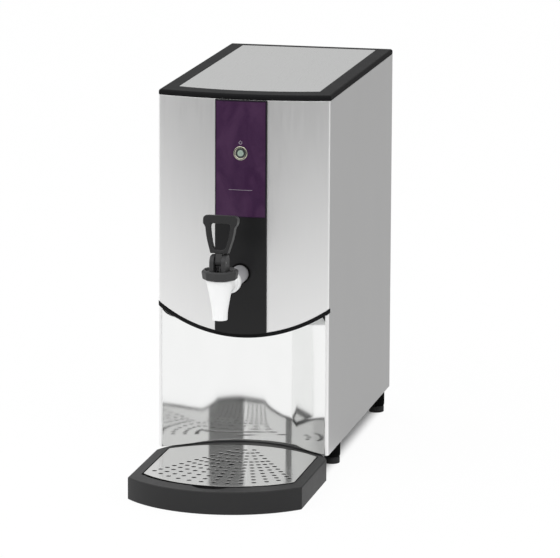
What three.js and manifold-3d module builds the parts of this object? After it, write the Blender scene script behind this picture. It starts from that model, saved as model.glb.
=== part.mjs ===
// A countertop water dispenser: a tall steel case with a boiler tank above an open
// cup space, a lever tap on the front and a drip tray that stands before it.
// Millimetres, +Z up, -Y to the front, +X to the right as the user faces the tap.
import * as THREE from "three";
import { mergeVertices } from "three/addons/utils/BufferGeometryUtils.js";
import Module from "manifold-3d";

const wasm = await Module();
wasm.setup();

// ---- Driving dimensions -------------------------------------------------

// Fits
const GAP = 0.3; // between pieces that sit against each other
const SLIDE_GAP = 0.4; // around pieces that move in one another

// Case
const CASE_WIDTH = 206;
const CASE_DEPTH = 376;
const CASE_HEIGHT = 423; // the folded sheet, without feet and top moulding
const SHEET = 1.2;
const FRONT_BOW = 15; // how far the front swells past its corners
const CORNER_RADIUS = 3.5;
const LIP_WIDTH = 4.2; // steel left at each side of the splash panel
const REAR_FLANGE = 14;
const VENT_ROWS = 5;
const VENT_PITCH = 16;
const VENT_SLOT = 4.5;
const VENT_HALF = 22; // half a slot's length
const VENT_SIDE = 30;
const VENT_DROP = 64; // top slot under the top of the sheet

// Black edge under the front
const ARCH_LOW = 168.5; // height of its underside at the middle
const ARCH_HIGH = 199.5; // and at the corners
const ARCH_BAND = 4.2;
const ARCH_PROUD = 0.4;
const ARCH_WRAP = 3.2; // how far its tips reach round the corners

// Splash panel
const SPLASH_DEPTH = 50.5; // hollow of the panel behind the case's corners
const SPLASH_FLAT_TURN = 37; // degrees that its flat ends are turned from the front
const SPLASH_SHEET = 1;
const SPLASH_TOP = 214;

// Top moulding and lid plate
const TOP_HEIGHT = 6.2;
const TOP_EDGE = 3; // rounding of its upper edge
const TOP_SKIRT = 9;
const TOP_WALL = 2.4;
const LID_SIDE_RIM = 18.6; // rim at each side of the lid plate
const LID_SHEET = 1.2;
const LID_BOW = 14;
const LID_FRONT_RIM = 28; // rim behind the case's front middle
const LID_REAR_RIM = 15;
const LID_LEDGE = 6;

// Front strip
const FASCIA_WIDTH = 62;
const FASCIA_THICK = 2.7;
const OVERLAY_THICK = 0.5;
const OVERLAY_INSET = 0.8;
const OVERLAY_LOW = 312.8;

// Stand-by button
const BUTTON_DROP = 62.4; // its middle under the top of the folded sheet
const BEZEL_OUTER = 8.3;
const BEZEL_INNER = 6;
const BEZEL_PROUD = 0.9;
const BEZEL_DEPTH = 8.4;
const LENS_RADIUS = 3.7;
const BUTTON_TRAVEL = 1;
const DISPLAY_HALF = 24; // of the switch board behind the button
const DISPLAY_RISE = 26;
const DISPLAY_POST = 2.4;
const POST_INSET = [3, 4]; // from the board's side and its ends
const SWITCH_DEPTH = 3.5;
const SWITCH_HALF = 3;

// Feet
const FOOT_HEIGHT = 28;
const FOOT_RADIUS = 10;
const FOOT_PAD_RADIUS = 9.4;
const FOOT_PAD = 8;
const FOOT_STUD = 4.8;
const FOOT_STUD_LENGTH = 15;
const FOOT_TOP_WALL = 2;
const FOOT_SIDE = 12.2; // centre of a foot to the case's side
const FOOT_FRONT = 80;
const FOOT_REAR = 22; // centre of a rear foot to the case's back

// Tap
const TAP_REACH = 122; // spout axis in front of the case's corners
const SPOUT_TIP = 212.3;
const SPOUT_TIP_RADIUS = 8.8;
const SPOUT_SWELL = [[9.3, 10.5], [11.9, 26.5]]; // radius, height above the tip
const SPOUT_WALL = 2.3;
const BODY_TOP_RADIUS = 16.2;
const BODY_NECK_RADIUS = 15;
const BODY_NECK = 6.4;
const SEAT_RISE = 15.1; // valve seat above the spout's tip
const SEAT_THICK = 2;
const SEAT_RADIUS = 4.6;
const CHAMBER_HEIGHT = 30.4; // from the seat to the body's shoulder
const AXIS_RISE = 16.5; // barrel's axis above the seat
const BARREL_RADIUS = 9.6;
const BARREL_BORE = 6;
const BARREL_LENGTH = 56;
const COLLAR_RADIUS = 12.6;
const COLLAR_LENGTH = 8;
const BONNET_RADIUS = 20.5;
const BONNET_HEIGHT = 11;
const BONNET_SIDES = 10;
const BONNET_DISH = 2.4;
const YOKE_HALF = 9.4;
const YOKE_SLOT_HALF = 4.3;
const YOKE_ROUND = 8.3;
const PIN_RADIUS = 1.5;
const PIVOT_RISE = 9.4; // pivot pin above the bonnet
const LEVER_ARM = 7; // pivot pin in front of the stem
const LEVER_ANGLE = 40;
const FORK_PRONG = 1.6;
const FORK_RIM = 3; // round the cross pin
const FORK_NOSE = 1.7; // solid behind the pivot pin
const FORK_BRIDGE = 2.7; // solid under the finger loop
const STEM_RADIUS = 1.8;
const CROSS_PIN_RADIUS = 1.2;
const HANDLE_RISE = 9.6; // foot of the finger loop above the pivot
const HANDLE_HEIGHT = 43.6;
const HANDLE_SETBACK = 6.5; // middle of its foot behind the pivot pin
const HANDLE_LEAN = 9; // degrees that it leans back
const HANDLE_DEPTH = 12.6;
const HANDLE_CORNER = 5;
const HANDLE_ROUND = 1.5;
// The loop's side and its window's, as half width and height above the foot.
const LOOP_SIDE = [
  [10.2, 0], [11.6, 5], [14.6, 15.5], [16.2, 23], [17.2, 29.6], [19.6, 33.4], [20.2, 36.6],
];
const WINDOW_SIDE = [
  [3.5, 3.6], [6.6, 5.2], [8.6, 9], [10.6, 17], [11.9, 25], [12.4, 31], [11.2, 33.6], [9.5, 34.2],
];
const SPRING_WIRE = 0.7;
const SPRING_RADIUS = 4.6;
const SPRING_TURNS = 5;
const CUP_RADIUS = 7.4;
const CUP_HEIGHT = 7;

// Shank through the front
const SHANK_RADIUS = 10;
const SHANK_TAIL_RADIUS = 8;
const SHANK_TAIL = 8;
const SHANK_BORE = 5.5;
const SHANK_INSIDE = 14; // threaded length behind the front sheet
const SHANK_NUT_ACROSS = 30;
const SHANK_NUT = 6;
const WASHER_WIDTH = 1.8;
const WASHER_THICK = 1.6;
const HOSE_WALL = 2.8;

// Drip tray and grille
const TRAY_HEIGHT = 26.7;
const TRAY_FRONT = 195; // front middle before the case's corners
const TRAY_FRONT_SIDE = 148;
const TRAY_BACK = 60.5;
const TRAY_BACK_SIDE = 11; // the back arc's ends stay before the corners
const TRAY_WALL = 3;
const TRAY_FLOOR = 2.4;
const TRAY_RIM = 12.3;
const TRAY_RIM_THICK = 5.4;
const GRILLE_SHEET = 1.2;
const GRILLE_FRONT_RIM = 23; // rim before the grille's front middle
const GRILLE_FRONT_CORNER = 16;
const GRILLE_BACK_CORNER = 9;
const GRILLE_BACK_RIM = 24.5;
const GRILLE_LEDGE = 5;
const NOTCH_WIDTH = 44;
const NOTCH_DEPTH = 4.2;
const HOLE_RADIUS = 2.2;
const DRAIN_HOLE_RADIUS = 3.8;
const DRAIN_HOLES = [-61, -121];
const FAN_LINES = 6; // lines of holes on each side of the middle
const FAN_STEP = 4.85; // degrees
const FAN_ORIGIN = 32; // the lines meet behind the case's corners
const RING_STEP = 14.7;
const HOLE_MARGIN = 21;
const HOLE_SPACING = 6;

// Tank and its stand
const TANK_SIDES = 32;
const TANK_SIDE_ROOM = 15; // from the tank to the case's side
const TANK_FRONT_ROOM = 26; // from the case's corners back to the tank
const TANK_WALL = 1.5;
const OUTLET_RISE = 19.9; // tap's axis above the tank's bottom
const TANK_HEADROOM = 21; // under the top of the folded sheet
const TANK_FLANGE = 8;
const FLANGE_THICK = 2;
const GASKET_THICK = 1.6;
const LID_THICK = 2;
const SPIGOT_LENGTH = 14;
const SPIGOT_DROP = 12;
const VENT_FROM_WALL = 30; // vent hole to the tank's wall
const JACKET_THICK = 10.4;
const STAND_SHEET = 2;
const STAND_MARGIN = 2; // stand past the tank's side
const STAND_LEG_AHEAD = 38; // of the tank's axis
const STAND_LEG_BEHIND = 72;
const STAND_FLANGE = 14;
const BAND_SHEET = 1.2;
const BAND_LIP = 4;
const BAND_TURN = 35; // degrees from the rear to the band's clamp
const SCREW_RADIUS = 1.9;
const SCREW_HEAD = 3.5;
const SCREW_HEAD_HEIGHT = 2.2;
const SCREW_LENGTH = 7;
const SCREW_FROM_END = 40; // back screws from the sheet's ends

// Heating and sensing
const ELEMENT_FLANGE = 21;
const ELEMENT_NECK = 12;
const ELEMENT_TUBE = 4;
const ELEMENT_LOOP = 46;
const ELEMENT_RISE = 36;
const ELEMENT_NUT_ACROSS = 34;
const ELEMENT_NUT = 5;
const PROBE_RADIUS = 3;
const PROBE_HEAD = 7;
const PROBE_HEAD_HEIGHT = 5;
const PROBE_SIDE = 32;
const TEMPERATURE_REACH = 130; // of each probe under the lid
const LEVEL_HIGH_REACH = 40;
const LEVEL_LOW_REACH = 100;
const LEVEL_PROBE_RADIUS = 2;
const ELEMENT_LEGS = 6.5; // of a leg from the middle
const ELEMENT_PIN = 2.4;
const ELEMENT_PIN_LENGTH = 10;
const ELEMENT_FLANGE_THICK = 6;
const THERMOSTAT_SIZE = [30, 24, 40];
const THERMOSTAT_HEIGHT = 150;
const THERMOSTAT_SIDE = 25;
const THERMOSTAT_WELL = 6; // depth of the reset pin's hole
const BUSH_PROUD = 3;
const BUSH_RADIUS = 6;
const RESET_RADIUS = 2.6;
const RESET_TRAVEL = 1.5;
const RESET_PROUD = 0.5; // left standing when it is pressed

// Water inlet and vent
const INLET_FROM_SIDE = 53; // from the case's side
const INLET_HEIGHT = 78;
const INLET_RADIUS = 13.2;
const INLET_BORE = 8;
const INLET_PROUD = 14;
const VALVE_LENGTH = 46;
const VALVE_SPIGOT = 12;
const VALVE_HALF = 13;
const VALVE_COLLAR = 4;
const COIL_SIZE = 28;
const COIL_TAB = [6, 1.2, 9]; // width, thickness and height
const COIL_TAB_SIDE = 5;
const HOSE_RADIUS = 6;
const HOSE_BORE = 4.2;
const HOSE_SPIGOT = 3.5;
const VENT_RADIUS = 5;
const VENT_BORE = 3.4;
const VENT_HEIGHT = 62;
const VENT_PROUD = 8;

// Electrical
const BOARD_THICK = 1.6;
const BOARD_LENGTH = 110;
const BOARD_HEIGHT = 140;
const BOARD_LOW = 62;
const BOARD_FROM_BACK = 156; // from the case's back
const BOARD_OFF_WALL = 8;
const BRACKET_MARGIN = 6;
const BRACKET_TOE = 20;
const BRACKET_POST = 3;
const BRACKET_POST_INSET = 8;
// Relays, transformer and connectors: depth, then from and to along the board and up it.
const BOARD_PARTS = [
  [28, 14, 50, 18, 52],
  [16, 62, 82, 20, 32],
  [16, 86, 104, 20, 32],
  [12, 10, 100, 118, 130],
  [3, 40, 62, 74, 96],
];
const CAPACITOR = [7, 22, 84, 84]; // radius, length, place along the board and up it
const BRACKET_SHEET = 1.2;
const TERMINAL_SIZE = [44, 22, 20];
const TERMINAL_FROM_BACK = 62;
const TERMINAL_FROM_BOARD = 44;
const TERMINAL_PITCH = [14, 5];
const TERMINAL_WELL = [2.6, 6]; // radius and depth
const GLAND_FROM_SIDE = 37; // from the case's side
const GLAND_HEIGHT = 62;
const GLAND_RADIUS = 8;
const GLAND_BORE = 4.4;
const GLAND_ACROSS = 22;
const GLAND_PROUD = 16;
const GLAND_NUT = 5;
const GLAND_INSIDE = 12;

// ---- Heights and places that follow --------------------------------------

const caseHalf = CASE_WIDTH / 2;
const caseTop = FOOT_HEIGHT + CASE_HEIGHT;
const lidHalf = caseHalf - LID_SIDE_RIM;
const buttonHeight = caseTop - BUTTON_DROP;
const seatHeight = SPOUT_TIP + SEAT_RISE;
const seatTop = seatHeight + SEAT_THICK;
const tapAxis = seatTop + AXIS_RISE;
const bodyTop = seatTop + CHAMBER_HEIGHT;
const neckTop = bodyTop + BODY_NECK;
const bonnetLow = bodyTop + GAP;
const bonnetTop = bonnetLow + BONNET_HEIGHT;
const pivotHeight = bonnetTop + PIVOT_RISE;
const handleLow = pivotHeight + HANDLE_RISE;
const tankRadius = caseHalf - TANK_SIDE_ROOM;
const tankCentre = TANK_FRONT_ROOM + tankRadius;
const tankBottom = tapAxis - OUTLET_RISE;
const tankTop = caseTop - TANK_HEADROOM;
const standHalf = tankRadius + STAND_MARGIN;
const inletX = INLET_FROM_SIDE - caseHalf;
const glandX = caseHalf - GLAND_FROM_SIDE;
const boardFront = CASE_DEPTH - BOARD_FROM_BACK;
const panelFace = CASE_DEPTH - SHEET - GAP; // what sits behind the back panel ends here

// ---- Materials ----------------------------------------------------------

const metal = (color, roughness) => new THREE.MeshStandardMaterial({ color, roughness, metalness: 1 });
const plastic = (color, roughness) => new THREE.MeshStandardMaterial({ color, roughness, metalness: 0 });

const brushedSteel = metal(0xc4c5c5, 0.38);
const mirrorSteel = metal(0xe2e3e3, 0.06);
const satinSteel = metal(0xb6b8ba, 0.42);
const zinc = metal(0x9a9ca0, 0.45);
const chrome = metal(0xd4d6d8, 0.12);
const blackMoulding = plastic(0x3c3c3d, 0.62);
const blackGloss = plastic(0x242425, 0.3);
const purpleFilm = plastic(0x482e4e, 0.35);
const whitePlastic = plastic(0xf6f8f8, 0.35);
const buttonPlastic = plastic(0x2c3a34, 0.4);
const lensPlastic = plastic(0x8fa095, 0.25);
const blackRubber = plastic(0x1c1c1c, 0.8);
const clearSilicone = plastic(0xdedcd2, 0.5);
const foam = plastic(0x5a5a58, 0.95);
const circuitGreen = plastic(0x1d5a36, 0.5);
const redPlastic = plastic(0xa3231f, 0.4);
const brass = metal(0xb08d4a, 0.35);
const coilPlastic = plastic(0x2b3a66, 0.45);
const creamPlastic = plastic(0xd9d2bd, 0.5);

// ---- Solid helpers ------------------------------------------------------

const V2 = (x, y) => new THREE.Vector2(x, y);
const V3 = (x, y, z) => new THREE.Vector3(x, y, z);
const rad = THREE.MathUtils.degToRad;
const halfChord = (radius, offset) => Math.sqrt(radius * radius - offset * offset);

// A closed three.js geometry as a manifold solid.
function solid(geometry) {
  const bare = geometry.clone();
  bare.deleteAttribute("normal");
  bare.deleteAttribute("uv");
  const merged = mergeVertices(bare, 1e-4);
  const index = merged.index.array;
  const kept = [];
  for (let i = 0; i < index.length; i += 3) {
    const [a, b, c] = index.slice(i, i + 3);
    if (a !== b && b !== c && c !== a) kept.push(a, b, c);
  }
  return new wasm.Manifold(
    new wasm.Mesh({
      numProp: 3,
      vertProperties: new Float32Array(merged.attributes.position.array),
      triVerts: new Uint32Array(kept),
    }),
  );
}

// A named mesh made of a manifold solid.
function piece(name, body, material) {
  const { vertProperties, triVerts } = body.getMesh();
  const geometry = new THREE.BufferGeometry();
  geometry.setAttribute("position", new THREE.BufferAttribute(vertProperties, 3));
  geometry.setIndex(new THREE.BufferAttribute(triVerts, 1));
  geometry.computeVertexNormals();
  const mesh = new THREE.Mesh(geometry, material);
  mesh.name = name;
  return mesh;
}

const extruded = (shape, depth, segments) =>
  new THREE.ExtrudeGeometry(shape, { depth, bevelEnabled: false, curveSegments: segments });

// An outline in plan, standing from z0 to z1.
function plate(outline, z0, z1, holes = []) {
  const shape = new THREE.Shape(outline);
  shape.holes = holes.map((hole) => new THREE.Path(hole));
  return solid(extruded(shape, z1 - z0, 12).translate(0, 0, z0));
}

// An outline seen from the front (x, z), running back from y0 to y1.
function slab(outline, y0, y1) {
  const body = extruded(new THREE.Shape(outline), y1 - y0, 12);
  return solid(body.rotateX(Math.PI / 2).translate(0, y1, 0));
}

// An outline seen from the side (y, z), running from x0 to x1.
function profile(outline, x0, x1) {
  const turn = new THREE.Matrix4().set(0, 0, 1, x0, 1, 0, 0, 0, 0, 1, 0, 0, 0, 0, 0, 1);
  return solid(extruded(new THREE.Shape(outline), x1 - x0, 12).applyMatrix4(turn));
}

function block(x0, x1, y0, y1, z0, z1) {
  const box = new THREE.BoxGeometry(x1 - x0, y1 - y0, z1 - z0);
  return solid(box.translate((x0 + x1) / 2, (y0 + y1) / 2, (z0 + z1) / 2));
}

// A closed outline of [radius, height] pairs turned round the z axis.
function turned(outline, sides = 24) {
  const points = outline.map(([r, z]) => V2(r, z));
  if (THREE.ShapeUtils.area(points) < 0) points.reverse();
  const closed = [...points, points[0].clone()];
  return solid(new THREE.LatheGeometry(closed, sides).rotateX(Math.PI / 2));
}

const rod = (radius, z0, z1, sides = 20) =>
  turned([[0, z0], [radius, z0], [radius, z1], [0, z1]], sides);

const ring = (inner, outer, z0, z1, sides = 24) =>
  turned([[inner, z0], [outer, z0], [outer, z1], [inner, z1]], sides);

// The same solids with their axis lying along y or x, from the low end to the high end.
const alongY = (body) => body.rotate([-90, 0, 0]);
const alongX = (body) => body.rotate([0, 90, 0]);

const barY = (radius, x, z, y0, y1, sides = 20) =>
  alongY(rod(radius, y0, y1, sides)).translate([x, 0, z]);

const barX = (radius, y, z, x0, x1, sides = 16) =>
  alongX(rod(radius, x0, x1, sides)).translate([0, y, z]);

function hexagon(across, z0, z1) {
  const corner = across / Math.sqrt(3);
  return rod(corner, z0, z1, 6);
}

// A round hose or rod along a smooth route.
function tube(radius, route, steps, sides = 8) {
  const section = new THREE.Shape(arc(0, 0, radius, 0, 360 - 360 / sides, sides - 1));
  const path = new THREE.CatmullRomCurve3(route, false, "centripetal");
  return solid(new THREE.ExtrudeGeometry(section, { steps, extrudePath: path, bevelEnabled: false }));
}

// Points of an arc about (x, y), angles in degrees, both ends included.
function arc(x, y, radius, from, to, steps) {
  const points = [];
  for (let i = 0; i <= steps; i += 1) {
    const angle = rad(from + ((to - from) * i) / steps);
    points.push(V2(x + radius * Math.cos(angle), y + radius * Math.sin(angle)));
  }
  return points;
}

const joined = (bodies) => bodies.reduce((sum, body) => sum.add(body));
const without = (body, cuts) => cuts.reduce((rest, cut) => rest.subtract(cut), body);

// A pan-head screw with its axis up, its head resting just above z = 0.
function screw(length) {
  const outline = [
    [0, -length],
    [SCREW_RADIUS, -length],
    [SCREW_RADIUS, GAP],
    [SCREW_HEAD, GAP],
    [SCREW_HEAD * 0.9, GAP + SCREW_HEAD_HEIGHT * 0.7],
    [SCREW_HEAD * 0.6, GAP + SCREW_HEAD_HEIGHT],
    [0, GAP + SCREW_HEAD_HEIGHT],
  ];
  return turned(outline, 12);
}

// ---- Shared outlines ----------------------------------------------------

const FRONT_STEPS = 18; // facets of the bowed front
const frontRadius = (caseHalf ** 2 + FRONT_BOW ** 2) / (2 * FRONT_BOW);
const frontCentre = frontRadius - FRONT_BOW;
const cornerX = caseHalf - CORNER_RADIUS;
const cornerY = frontCentre - halfChord(frontRadius - CORNER_RADIUS, cornerX);
const cornerTurn = THREE.MathUtils.radToDeg(Math.asin(cornerX / (frontRadius - CORNER_RADIUS)));
const wrapRear = CASE_DEPTH - SHEET - GAP;
const panelInside = wrapRear - SHEET;

// The case's plan outline, drawn in by an inset, with a flat rear. Its corners are
// round until the inset uses their radius up.
function caseOutline(inset, rear) {
  const half = caseHalf - inset;
  const corner = CORNER_RADIUS - inset;
  const front = frontRadius - inset;
  if (corner < 0.4) {
    const turn = THREE.MathUtils.radToDeg(Math.asin(half / front));
    const bow = arc(0, frontCentre, front, 270 - turn, 270 + turn, FRONT_STEPS);
    return [V2(half, rear), V2(-half, rear), ...bow];
  }
  return [
    V2(half, rear),
    V2(-half, rear),
    ...arc(-cornerX, cornerY, corner, 180, 270 - cornerTurn, 3),
    ...arc(0, frontCentre, front, 270 - cornerTurn, 270 + cornerTurn, FRONT_STEPS).slice(1),
    ...arc(cornerX, cornerY, corner, 270 + cornerTurn, 360, 3).slice(1),
  ];
}

// Distance of the bowed front behind the case's corners at a given x and inset.
const frontAt = (x, inset) => frontCentre - halfChord(frontRadius - inset, x);

// A slice of the bowed front between two insets.
function frontSlice(half, inner, outer) {
  const a = THREE.MathUtils.radToDeg(Math.asin(half / (frontRadius - inner)));
  const b = THREE.MathUtils.radToDeg(Math.asin(half / (frontRadius - outer)));
  return [
    ...arc(0, frontCentre, frontRadius - outer, 270 - b, 270 + b, 10),
    ...arc(0, frontCentre, frontRadius - inner, 270 + a, 270 - a, 10),
  ];
}

// The arched lower edge of the front.
const archRise = ARCH_HIGH - ARCH_LOW;
const archRadius = (caseHalf ** 2 + archRise ** 2) / (2 * archRise);
const archCentre = ARCH_LOW + archRadius;

function archLine(radius, half, steps) {
  const reach = THREE.MathUtils.radToDeg(Math.asin(half / radius));
  return arc(0, archCentre, radius, 270 - reach, 270 + reach, steps);
}

function archBand(grow, half) {
  const low = archLine(archRadius + grow, half, FRONT_STEPS);
  const high = archLine(archRadius - ARCH_BAND - grow, half, FRONT_STEPS).reverse();
  return [...low, ...high];
}

// Everything above the arch's band.
function aboveArch(half, clearance, top) {
  return [...archLine(archRadius - ARCH_BAND - clearance, half, FRONT_STEPS), V2(half, top), V2(-half, top)];
}

// The hollow splash panel: rolled in the middle, with a flat end at each side.
const splashHalf = caseHalf - LIP_WIDTH - GAP;
const splashFlange = cornerY - (CORNER_RADIUS - SHEET) * Math.cos(rad(cornerTurn)) + GAP;
const splashTurn = rad(SPLASH_FLAT_TURN);
const splashFall = splashHalf * Math.tan(splashTurn) - SPLASH_DEPTH + splashFlange;
const splashRadius = splashFall / (1 / Math.cos(splashTurn) - 1);
const splashCentre = SPLASH_DEPTH - splashRadius;

// Its plan from left to right, at a radius about the same centre, with its ends at y.
function splashLine(radius, y, steps) {
  const turn = SPLASH_FLAT_TURN;
  const peak = splashCentre + radius / Math.cos(splashTurn);
  const end = (peak - y) / Math.tan(splashTurn);
  return [V2(-end, y), ...arc(0, splashCentre, radius, 90 + turn, 90 - turn, steps), V2(end, y)];
}

// ---- Case ---------------------------------------------------------------

const screwSide = caseHalf - SHEET - REAR_FLANGE / 2;
const screwHeights = [FOOT_HEIGHT + SCREW_FROM_END, caseTop - SCREW_FROM_END];
const screwPlaces = [-screwSide, screwSide].flatMap((x) => screwHeights.map((z) => [x, z]));
const SPLASH_STEPS = 18; // facets of the splash panel's rolled middle
const tapY = -TAP_REACH;
const frontY = frontAt(0, 0);
const fasciaFace = frontY - GAP - FASCIA_THICK;
const overlayFace = fasciaFace - GAP - OVERLAY_THICK;
const bezelHole = BEZEL_OUTER + GAP;
const shankHole = SHANK_RADIUS + GAP;

function caseWrap() {
  const sheet = plate(caseOutline(0, wrapRear), FOOT_HEIGHT, caseTop, [caseOutline(SHEET, panelInside)]);
  const flangeEdge = caseHalf - SHEET - REAR_FLANGE;
  const lip = caseHalf - LIP_WIDTH;
  const deep = splashFlange;
  const underFront = [
    ...archLine(archRadius - ARCH_BAND - GAP, lip, FRONT_STEPS),
    V2(lip, FOOT_HEIGHT - 1),
    V2(-lip, FOOT_HEIGHT - 1),
  ];
  const frontHole = (x, z, radius) => barY(radius, x, z, frontY - 1, 0);
  const flangeHoles = screwPlaces.map(([x, z]) =>
    barY(SCREW_RADIUS + GAP, x, z, panelInside - 1, wrapRear + 1, 12),
  );
  return without(sheet, [
    block(-flangeEdge, flangeEdge, panelInside - 1, wrapRear + 1, FOOT_HEIGHT - 1, caseTop + 1),
    slab(underFront, frontY - 2, deep),
    slab(archBand(GAP, caseHalf + 1), frontY - 2, ARCH_WRAP + GAP),
    frontHole(0, buttonHeight, bezelHole),
    frontHole(0, tapAxis, shankHole),
    ...flangeHoles,
  ]);
}

function backPanel() {
  const panel = block(-caseHalf, caseHalf, CASE_DEPTH - SHEET, CASE_DEPTH, FOOT_HEIGHT, caseTop);
  const [front, rear] = [CASE_DEPTH - SHEET - 1, CASE_DEPTH + 1];
  const through = (radius, x, z, sides = 16) => barY(radius, x, z, front, rear, sides);
  const vents = [];
  for (let row = 0; row < VENT_ROWS; row += 1) {
    const z = caseTop - VENT_DROP - row * VENT_PITCH;
    for (const x of [-VENT_SIDE, VENT_SIDE]) {
      vents.push(block(x - VENT_HALF, x + VENT_HALF, front, rear, z, z + VENT_SLOT));
    }
  }
  return without(panel, [
    ...vents,
    ...screwPlaces.map(([x, z]) => through(SCREW_RADIUS + GAP, x, z, 12)),
    through(INLET_RADIUS + GAP, inletX, INLET_HEIGHT, 24),
    through(GLAND_RADIUS + GAP, glandX, GLAND_HEIGHT),
    through(VENT_RADIUS + GAP, 0, VENT_HEIGHT),
    through(BUSH_RADIUS + GAP, THERMOSTAT_SIDE, THERMOSTAT_HEIGHT),
  ]);
}

const footSides = [-1, 1];
const footRows = { front: FOOT_FRONT, rear: CASE_DEPTH - FOOT_REAR };

function basePlate() {
  const half = caseHalf - SHEET - GAP;
  const front = splashFlange + SPLASH_SHEET + GAP;
  const outline = [
    V2(-half, front),
    ...splashLine(splashRadius + SPLASH_SHEET + GAP, front, SPLASH_STEPS),
    V2(half, front),
    V2(half, panelInside - GAP),
    V2(-half, panelInside - GAP),
  ];
  return plate(outline, FOOT_HEIGHT, FOOT_HEIGHT + SHEET);
}

const splashLipEnd = caseHalf - LIP_WIDTH + 1;

function splashPanel() {
  const back = splashFlange + SPLASH_SHEET;
  const outline = [
    V2(-splashLipEnd, splashFlange),
    ...splashLine(splashRadius, splashFlange, SPLASH_STEPS),
    V2(splashLipEnd, splashFlange),
    V2(splashLipEnd, back),
    ...splashLine(splashRadius + SPLASH_SHEET, back, SPLASH_STEPS).reverse(),
    V2(-splashLipEnd, back),
  ];
  return plate(outline, FOOT_HEIGHT, SPLASH_TOP);
}

function archTrim() {
  const tip = caseHalf + ARCH_PROUD;
  const band = slab(archBand(0, tip + 0.5), frontY - 2, SPLASH_DEPTH + 2);
  const notchSide = splashLipEnd + GAP;
  const ledgeEnd = splashFlange - GAP;
  const plan = [
    ...caseOutline(-ARCH_PROUD, ARCH_WRAP).slice(2),
    V2(tip, ARCH_WRAP),
    V2(notchSide, ARCH_WRAP),
    V2(notchSide, ledgeEnd),
    ...splashLine(splashRadius - GAP, ledgeEnd, SPLASH_STEPS).reverse(),
    V2(-notchSide, ledgeEnd),
    V2(-notchSide, ARCH_WRAP),
    V2(-tip, ARCH_WRAP),
  ];
  return band.intersect(plate(plan, ARCH_LOW - 5, ARCH_HIGH + 12));
}

// ---- Top ----------------------------------------------------------------

const topLow = caseTop + GAP;
const topZ = topLow + TOP_HEIGHT;
const lidFront = frontY + LID_FRONT_RIM;
const lidRear = CASE_DEPTH - LID_REAR_RIM;
const lidRadius = (lidHalf ** 2 + LID_BOW ** 2) / (2 * LID_BOW);

// The lid plate's outline, grown by a margin.
function lidOutline(grow) {
  const half = lidHalf + grow;
  const radius = lidRadius + grow;
  const reach = THREE.MathUtils.radToDeg(Math.asin(half / radius));
  return [
    V2(half, lidRear + grow),
    V2(-half, lidRear + grow),
    ...arc(0, lidFront + lidRadius, radius, 270 - reach, 270 + reach, FRONT_STEPS),
  ];
}

function topFrame() {
  const shape = new THREE.Shape(caseOutline(0, CASE_DEPTH));
  const rounded = new THREE.ExtrudeGeometry(shape, {
    depth: TOP_HEIGHT,
    bevelEnabled: true,
    bevelSize: TOP_EDGE,
    bevelOffset: -TOP_EDGE,
    bevelThickness: TOP_EDGE,
    bevelSegments: 2,
  });
  const crown = solid(rounded.translate(0, 0, topLow - TOP_EDGE));
  const under = topLow - 2 * TOP_EDGE - 1;
  const below = block(-caseHalf - 1, caseHalf + 1, frontY - 1, CASE_DEPTH + 1, under, topLow);
  const skirtInset = SHEET + GAP;
  const skirt = plate(caseOutline(skirtInset, panelInside - GAP), topLow - TOP_SKIRT, topLow + 1, [
    caseOutline(skirtInset + TOP_WALL, panelInside - GAP - TOP_WALL),
  ]);
  const pocket = plate(lidOutline(GAP), topZ - LID_SHEET - GAP, topZ + 1);
  const opening = plate(lidOutline(-LID_LEDGE), topLow - 1, topZ + 1);
  return without(crown.subtract(below).add(skirt), [pocket, opening]);
}

const lidPlate = () => plate(lidOutline(0), topZ - LID_SHEET, topZ);

// ---- Front strip --------------------------------------------------------

const fasciaHalf = FASCIA_WIDTH / 2;
const stripTop = caseTop;

function fascia() {
  const strip = plate(frontSlice(fasciaHalf, -GAP, -GAP - FASCIA_THICK), ARCH_LOW - 5, stripTop);
  return without(strip.intersect(slab(aboveArch(fasciaHalf + 1, GAP, caseTop), frontY - 9, 0)), [
    barY(bezelHole, 0, buttonHeight, frontY - 9, 0),
    barY(shankHole, 0, tapAxis, frontY - 9, 0),
  ]);
}

function fasciaOverlay() {
  const inner = -GAP * 2 - FASCIA_THICK;
  const outline = frontSlice(fasciaHalf - OVERLAY_INSET, inner, inner - OVERLAY_THICK);
  const film = plate(outline, OVERLAY_LOW, stripTop - OVERLAY_INSET);
  return film.subtract(barY(bezelHole, 0, buttonHeight, frontY - 9, 0));
}

const bezelFront = overlayFace - BEZEL_PROUD;
const bezelBack = bezelFront + BEZEL_DEPTH;

function buttonBezel() {
  const chamfer = 0.8;
  const outline = [
    [BEZEL_INNER + chamfer, bezelFront],
    [BEZEL_OUTER - chamfer, bezelFront],
    [BEZEL_OUTER, bezelFront + chamfer],
    [BEZEL_OUTER, bezelBack],
    [BEZEL_INNER, bezelBack],
    [BEZEL_INNER, bezelFront + chamfer],
  ];
  return alongY(turned(outline)).translate([0, 0, buttonHeight]);
}

const buttonFront = bezelFront + 0.6;
const buttonBack = bezelBack + BUTTON_TRAVEL + GAP + 0.6;

function powerButton() {
  const cap = BEZEL_INNER - SLIDE_GAP;
  const seat = LENS_RADIUS + GAP;
  const outline = [
    [0, buttonFront + 1.6],
    [seat, buttonFront + 1.6],
    [seat, buttonFront],
    [cap - 0.5, buttonFront],
    [cap, buttonFront + 0.5],
    [cap, bezelBack + GAP],
    [cap + 1.2, bezelBack + GAP],
    [cap + 1.2, buttonBack],
    [0, buttonBack],
  ];
  return alongY(turned(outline)).translate([0, 0, buttonHeight]);
}

function buttonLens() {
  const outline = [
    [0, buttonFront - 0.3],
    [LENS_RADIUS - 0.8, buttonFront - 0.2],
    [LENS_RADIUS, buttonFront + 0.2],
    [LENS_RADIUS, buttonFront + 1.3],
    [0, buttonFront + 1.3],
  ];
  return alongY(turned(outline, 24)).translate([0, 0, buttonHeight]);
}

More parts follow.
